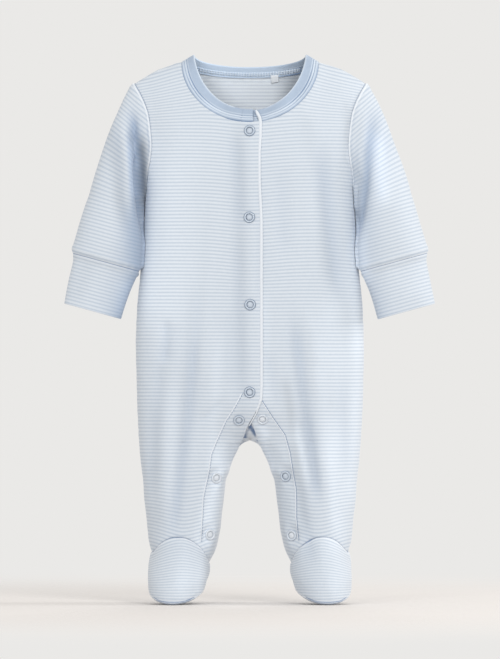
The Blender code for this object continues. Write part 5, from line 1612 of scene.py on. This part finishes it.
def tube(name, centre, across, out, half_width, half_height, sides=12):
    """A flattened tube along a line, with rounded ends."""
    turn = circle(sides)
    count = len(centre)
    end = np.ones(count)
    end[[0, -1]], end[[1, -2]] = 0.35, 0.8
    points = (
        centre[:, None]
        + across[:, None] * ((half_width * end)[:, None] * np.cos(turn))[..., None]
        + out[:, None] * ((half_height * end)[:, None] * np.sin(turn))[..., None]
    )
    index = numbers(points)
    caps = []
    for j in range(sides):
        k = (j + 1) % sides
        caps.append([count * sides, index[0, k], index[0, j], index[0, j]])
        caps.append([count * sides + 1, index[-1, j], index[-1, k], index[-1, k]])
    points = np.concatenate([points.reshape(-1, 3), centre[[0, -1]]])
    return add_mesh(name, points, np.concatenate([ring_faces(index[:-1], index[1:]), caps]))


def surface_point(x, height):
    """A point of the front, near its middle, at this place seen from the front."""
    if height >= UNDERARM:
        return yoke(np.array(x), np.array(height), True)
    return body(turn_at(x, height), height)


def make_binding(material):
    """The pale rolled binding along the right front's edge."""
    line, _ = spaced(binding_path(), 1.6)
    centre = np.array([surface_point(x, z) for x, z in line])
    ahead = unit(np.gradient(centre, axis=0))
    out = np.cross(ahead, np.array([1.0, 0, 0]))
    out = unit(out * np.where(out[:, 1:2] > 0, -1.0, 1.0))
    low = ease((BINDING_RISE[0] - line[:, 1]) / BINDING_RISE[1])
    lift = BINDING_LIFT + BINDING_END_LIFT * low + relief_of_body(centre)
    centre = centre + out * lift[:, None]
    narrow = 1.0 - BINDING_TAPER * low
    size = BINDING_HALF_WIDTH * narrow, BINDING_HALF_HEIGHT * narrow
    made = tube("placket_binding", centre, np.cross(ahead, out), out, *size)
    length = np.linalg.norm(np.diff(centre, axis=0), axis=1).sum()
    dress(made, "pale_binding", material, "placket_edge")
    length = round(length * 0.001, 3)


def make_snap(name, surface, x, z, metal, cloth):
    """A snap's ring cap, and the cloth that shows through it."""
    place, normal = surface.plane(x, z)
    right = unit(np.cross(normal, [0, 0, 1.0]))
    turn = circle(CAP_SIDES)
    way = np.cos(turn)[:, None] * right + np.sin(turn)[:, None] * np.cross(right, normal)
    made = []
    for part, table in (("_ring", CAP_PROFILE), ("_middle", MIDDLE_PROFILE)):
        profile = np.array(table)
        points = place + way[:, None] * profile[None, :, :1] + normal * (CAP_GAP + profile[None, :, 1:2])
        a = numbers(points)
        b = np.roll(a, -1, axis=0)
        if part == "_ring":
            faces = ring_faces(a, b)
        else:
            faces = np.stack([a[:, 1:-1], a[:, 2:], b[:, 2:], b[:, 1:-1]], axis=-1).reshape(-1, 4)
            faces = np.concatenate([faces, np.stack([a[:, 0] * 0, a[:, 1], b[:, 1], b[:, 1]], axis=-1)])
        made.append(add_mesh(name + part, points.reshape(-1, 3), faces))
    # Painted shadow at the ring's edges, less on the rings that take a painted highlight.
    shown, rims = PALE_RINGS.get(name, 1.0), np.array(CAP_PROFILE)[:, 2]
    add_attribute(made[0], "painted_edge_shadow", np.tile(rims, CAP_SIDES) * shown)
    add_attribute(made[0], "pale", np.full(CAP_SIDES * len(rims), PALEST_RING * (1.0 - shown)))
    dress(made[0], "painted_metal", metal, name)
    dress(made[1], "striped_jersey", cloth)


# The scene

def lamp(name, place, target, size, power, tint):
    """A soft square lamp."""
    data = bpy.data.lights.new(name, "AREA")
    data.shape, data.size, data.energy, data.color = "SQUARE", size, power, tint
    add_to_scene(name, data, place, target)


def add_to_scene(name, data, place, target=None):
    """An object at this place, turned to the target where one is given."""
    made = bpy.data.objects.new(name, data)
    made.location = place
    if target is not None:
        x, y, z = np.array(target) - np.array(made.location)
        made.rotation_euler = (math.atan2(math.hypot(x, y), -z), 0.0, math.atan2(-x, y))
    bpy.context.scene.collection.objects.link(made)
    return made


def make_floor(lowest):
    """The pale floor, which fades into the world's colour."""
    sides, points, faces = FLOOR_SIDES, [[0.0, 0.0, 0.0]], []
    for n, radius in enumerate(np.linspace(0.0, FLOOR_RADIUS, 9)[1:]):
        points += [[radius * math.cos(t), radius * math.sin(t), 0.0] for t in circle(sides)]
        for k in range(sides):
            here, there = 1 + n * sides + k, 1 + n * sides + (k + 1) % sides
            faces.append([0, here, there] if n == 0 else [here - sides, here, there, there - sides])
    mesh = bpy.data.meshes.new("floor")
    mesh.from_pydata(points, [], faces)
    floor = add_to_scene("floor", mesh, (0.0, -0.03, lowest - FLOOR_GAP))
    paint = Paint("pale_floor", 1.0, gloss=0.0)
    place = paint.place()
    far = paint.node("VectorMath", {"operation": "LENGTH"}, i0=place).outputs["Value"]
    solid = paint.ramp(far, *FLOOR_FADE, 1.0, 0.0, "SMOOTHERSTEP")
    paint.links.new(solid, paint.shader.inputs["Alpha"])
    mesh.materials.append(paint.done(paint.mix(paint.noise(place, 3.0, 2.0), *FLOOR_COLOUR)))


def stage_and_lights(lowest):
    """The pale floor and world, the lamps and the camera."""
    world = bpy.data.worlds.new("studio")
    world.use_nodes = True
    world.node_tree.nodes["Background"].inputs[0].default_value = colour(*WORLD_COLOUR)
    world.node_tree.nodes["Background"].inputs[1].default_value = WORLD_STRENGTH
    bpy.context.scene.world = world
    bpy.context.scene.view_settings.view_transform = "Standard"
    make_floor(lowest)
    for name, place, size, power, tint in LAMPS:
        lamp(name, place, LAMP_TARGET, size, power, tint)
    data = bpy.data.cameras.new("camera")
    data.sensor_fit = "VERTICAL"
    data.sensor_height = data.sensor_width = SENSOR
    data.lens = SENSOR * (-CAMERA_PLACE[1] - FRONT_DEPTH) / VIEW_HEIGHT
    data.clip_end = 100.0
    bpy.context.scene.camera = add_to_scene("camera", data, CAMERA_PLACE, (0.0, 0.0, CAMERA_PLACE[2]))


def make_garment():
    """The cloth pieces and their trims."""
    top_grid, heel = foot_grids()
    sheets = make_fronts() + [make_back(heel), make_neckband()] + make_feet(top_grid)
    for side, mirrored in (("left", False), ("right", True)):
        sheets += [make_sleeve(side, mirrored), make_cuff(side, mirrored)]
    sheets.append(make_tab())
    build_sheets(sheets)
    named = {sheet.name: sheet for sheet in sheets}
    finishes = {
        "neckband_rib": ("blue_rib", rib()),
        "neck_tab_cloth": ("white_label", plain_cloth("white_label_cloth", LABEL_COLOUR)),
    }
    cloth = "striped_jersey", jersey()
    for sheet in sheets:
        dress(sheet.made, *finishes.get(sheet.name, cloth), *sheet.nodes)
    pale = plain_cloth("pale_binding_cloth", BINDING_COLOUR)
    make_binding(pale)
    metal, middle = ring_paint(), plain_cloth("snap_middle_cloth", MIDDLE_COLOUR)
    fronts = Surface([named["front_panel_right"], named["front_panel_left"], named["neckband_rib"]])
    # The rings with a painted highlight hold the binding's paler cloth, also as painted highlight.
    for name, (x, z) in SNAPS.items():
        make_snap(name, fronts, x, z, metal, pale if PALE_RINGS.get(name, 1.0) < 0.5 else middle)
    for side, line, length, thread, tint in STITCHES:
        centres, ways, outs = sewn_line(fronts, line, gap=STITCH_ASIDE)
        made = stitch_mesh(side + "_stitches", centres + outs * 0.25, ways, outs, length, STITCH_RADIUS)
        dress(made, "striped_jersey", plain_cloth(thread, tint, THREAD_SCALE))
    roll = plain_cloth("stitch_roll_cloth", ROLL_COLOUR)
    for side, line, _, _, _ in STITCHES:
        centre, way, out = sewn_line(fronts, line, pitch=1.5)
        made = tube(side + "_stitch_roll", centre, np.cross(way, out), out, *STITCH_ROLL, sides=8)
        dress(made, "striped_jersey", roll)
    loops = neck_overlock(Surface([named["neckband_rib"]], inner=True))
    made = stitch_mesh("neck_overlock", *loops, OVERLOCK_LENGTH, OVERLOCK_RADIUS)
    dress(made, "blue_rib", plain_cloth("loop_thread", LOOP_COLOUR, THREAD_SCALE))


make_garment()
stage_and_lights(before[0][2])
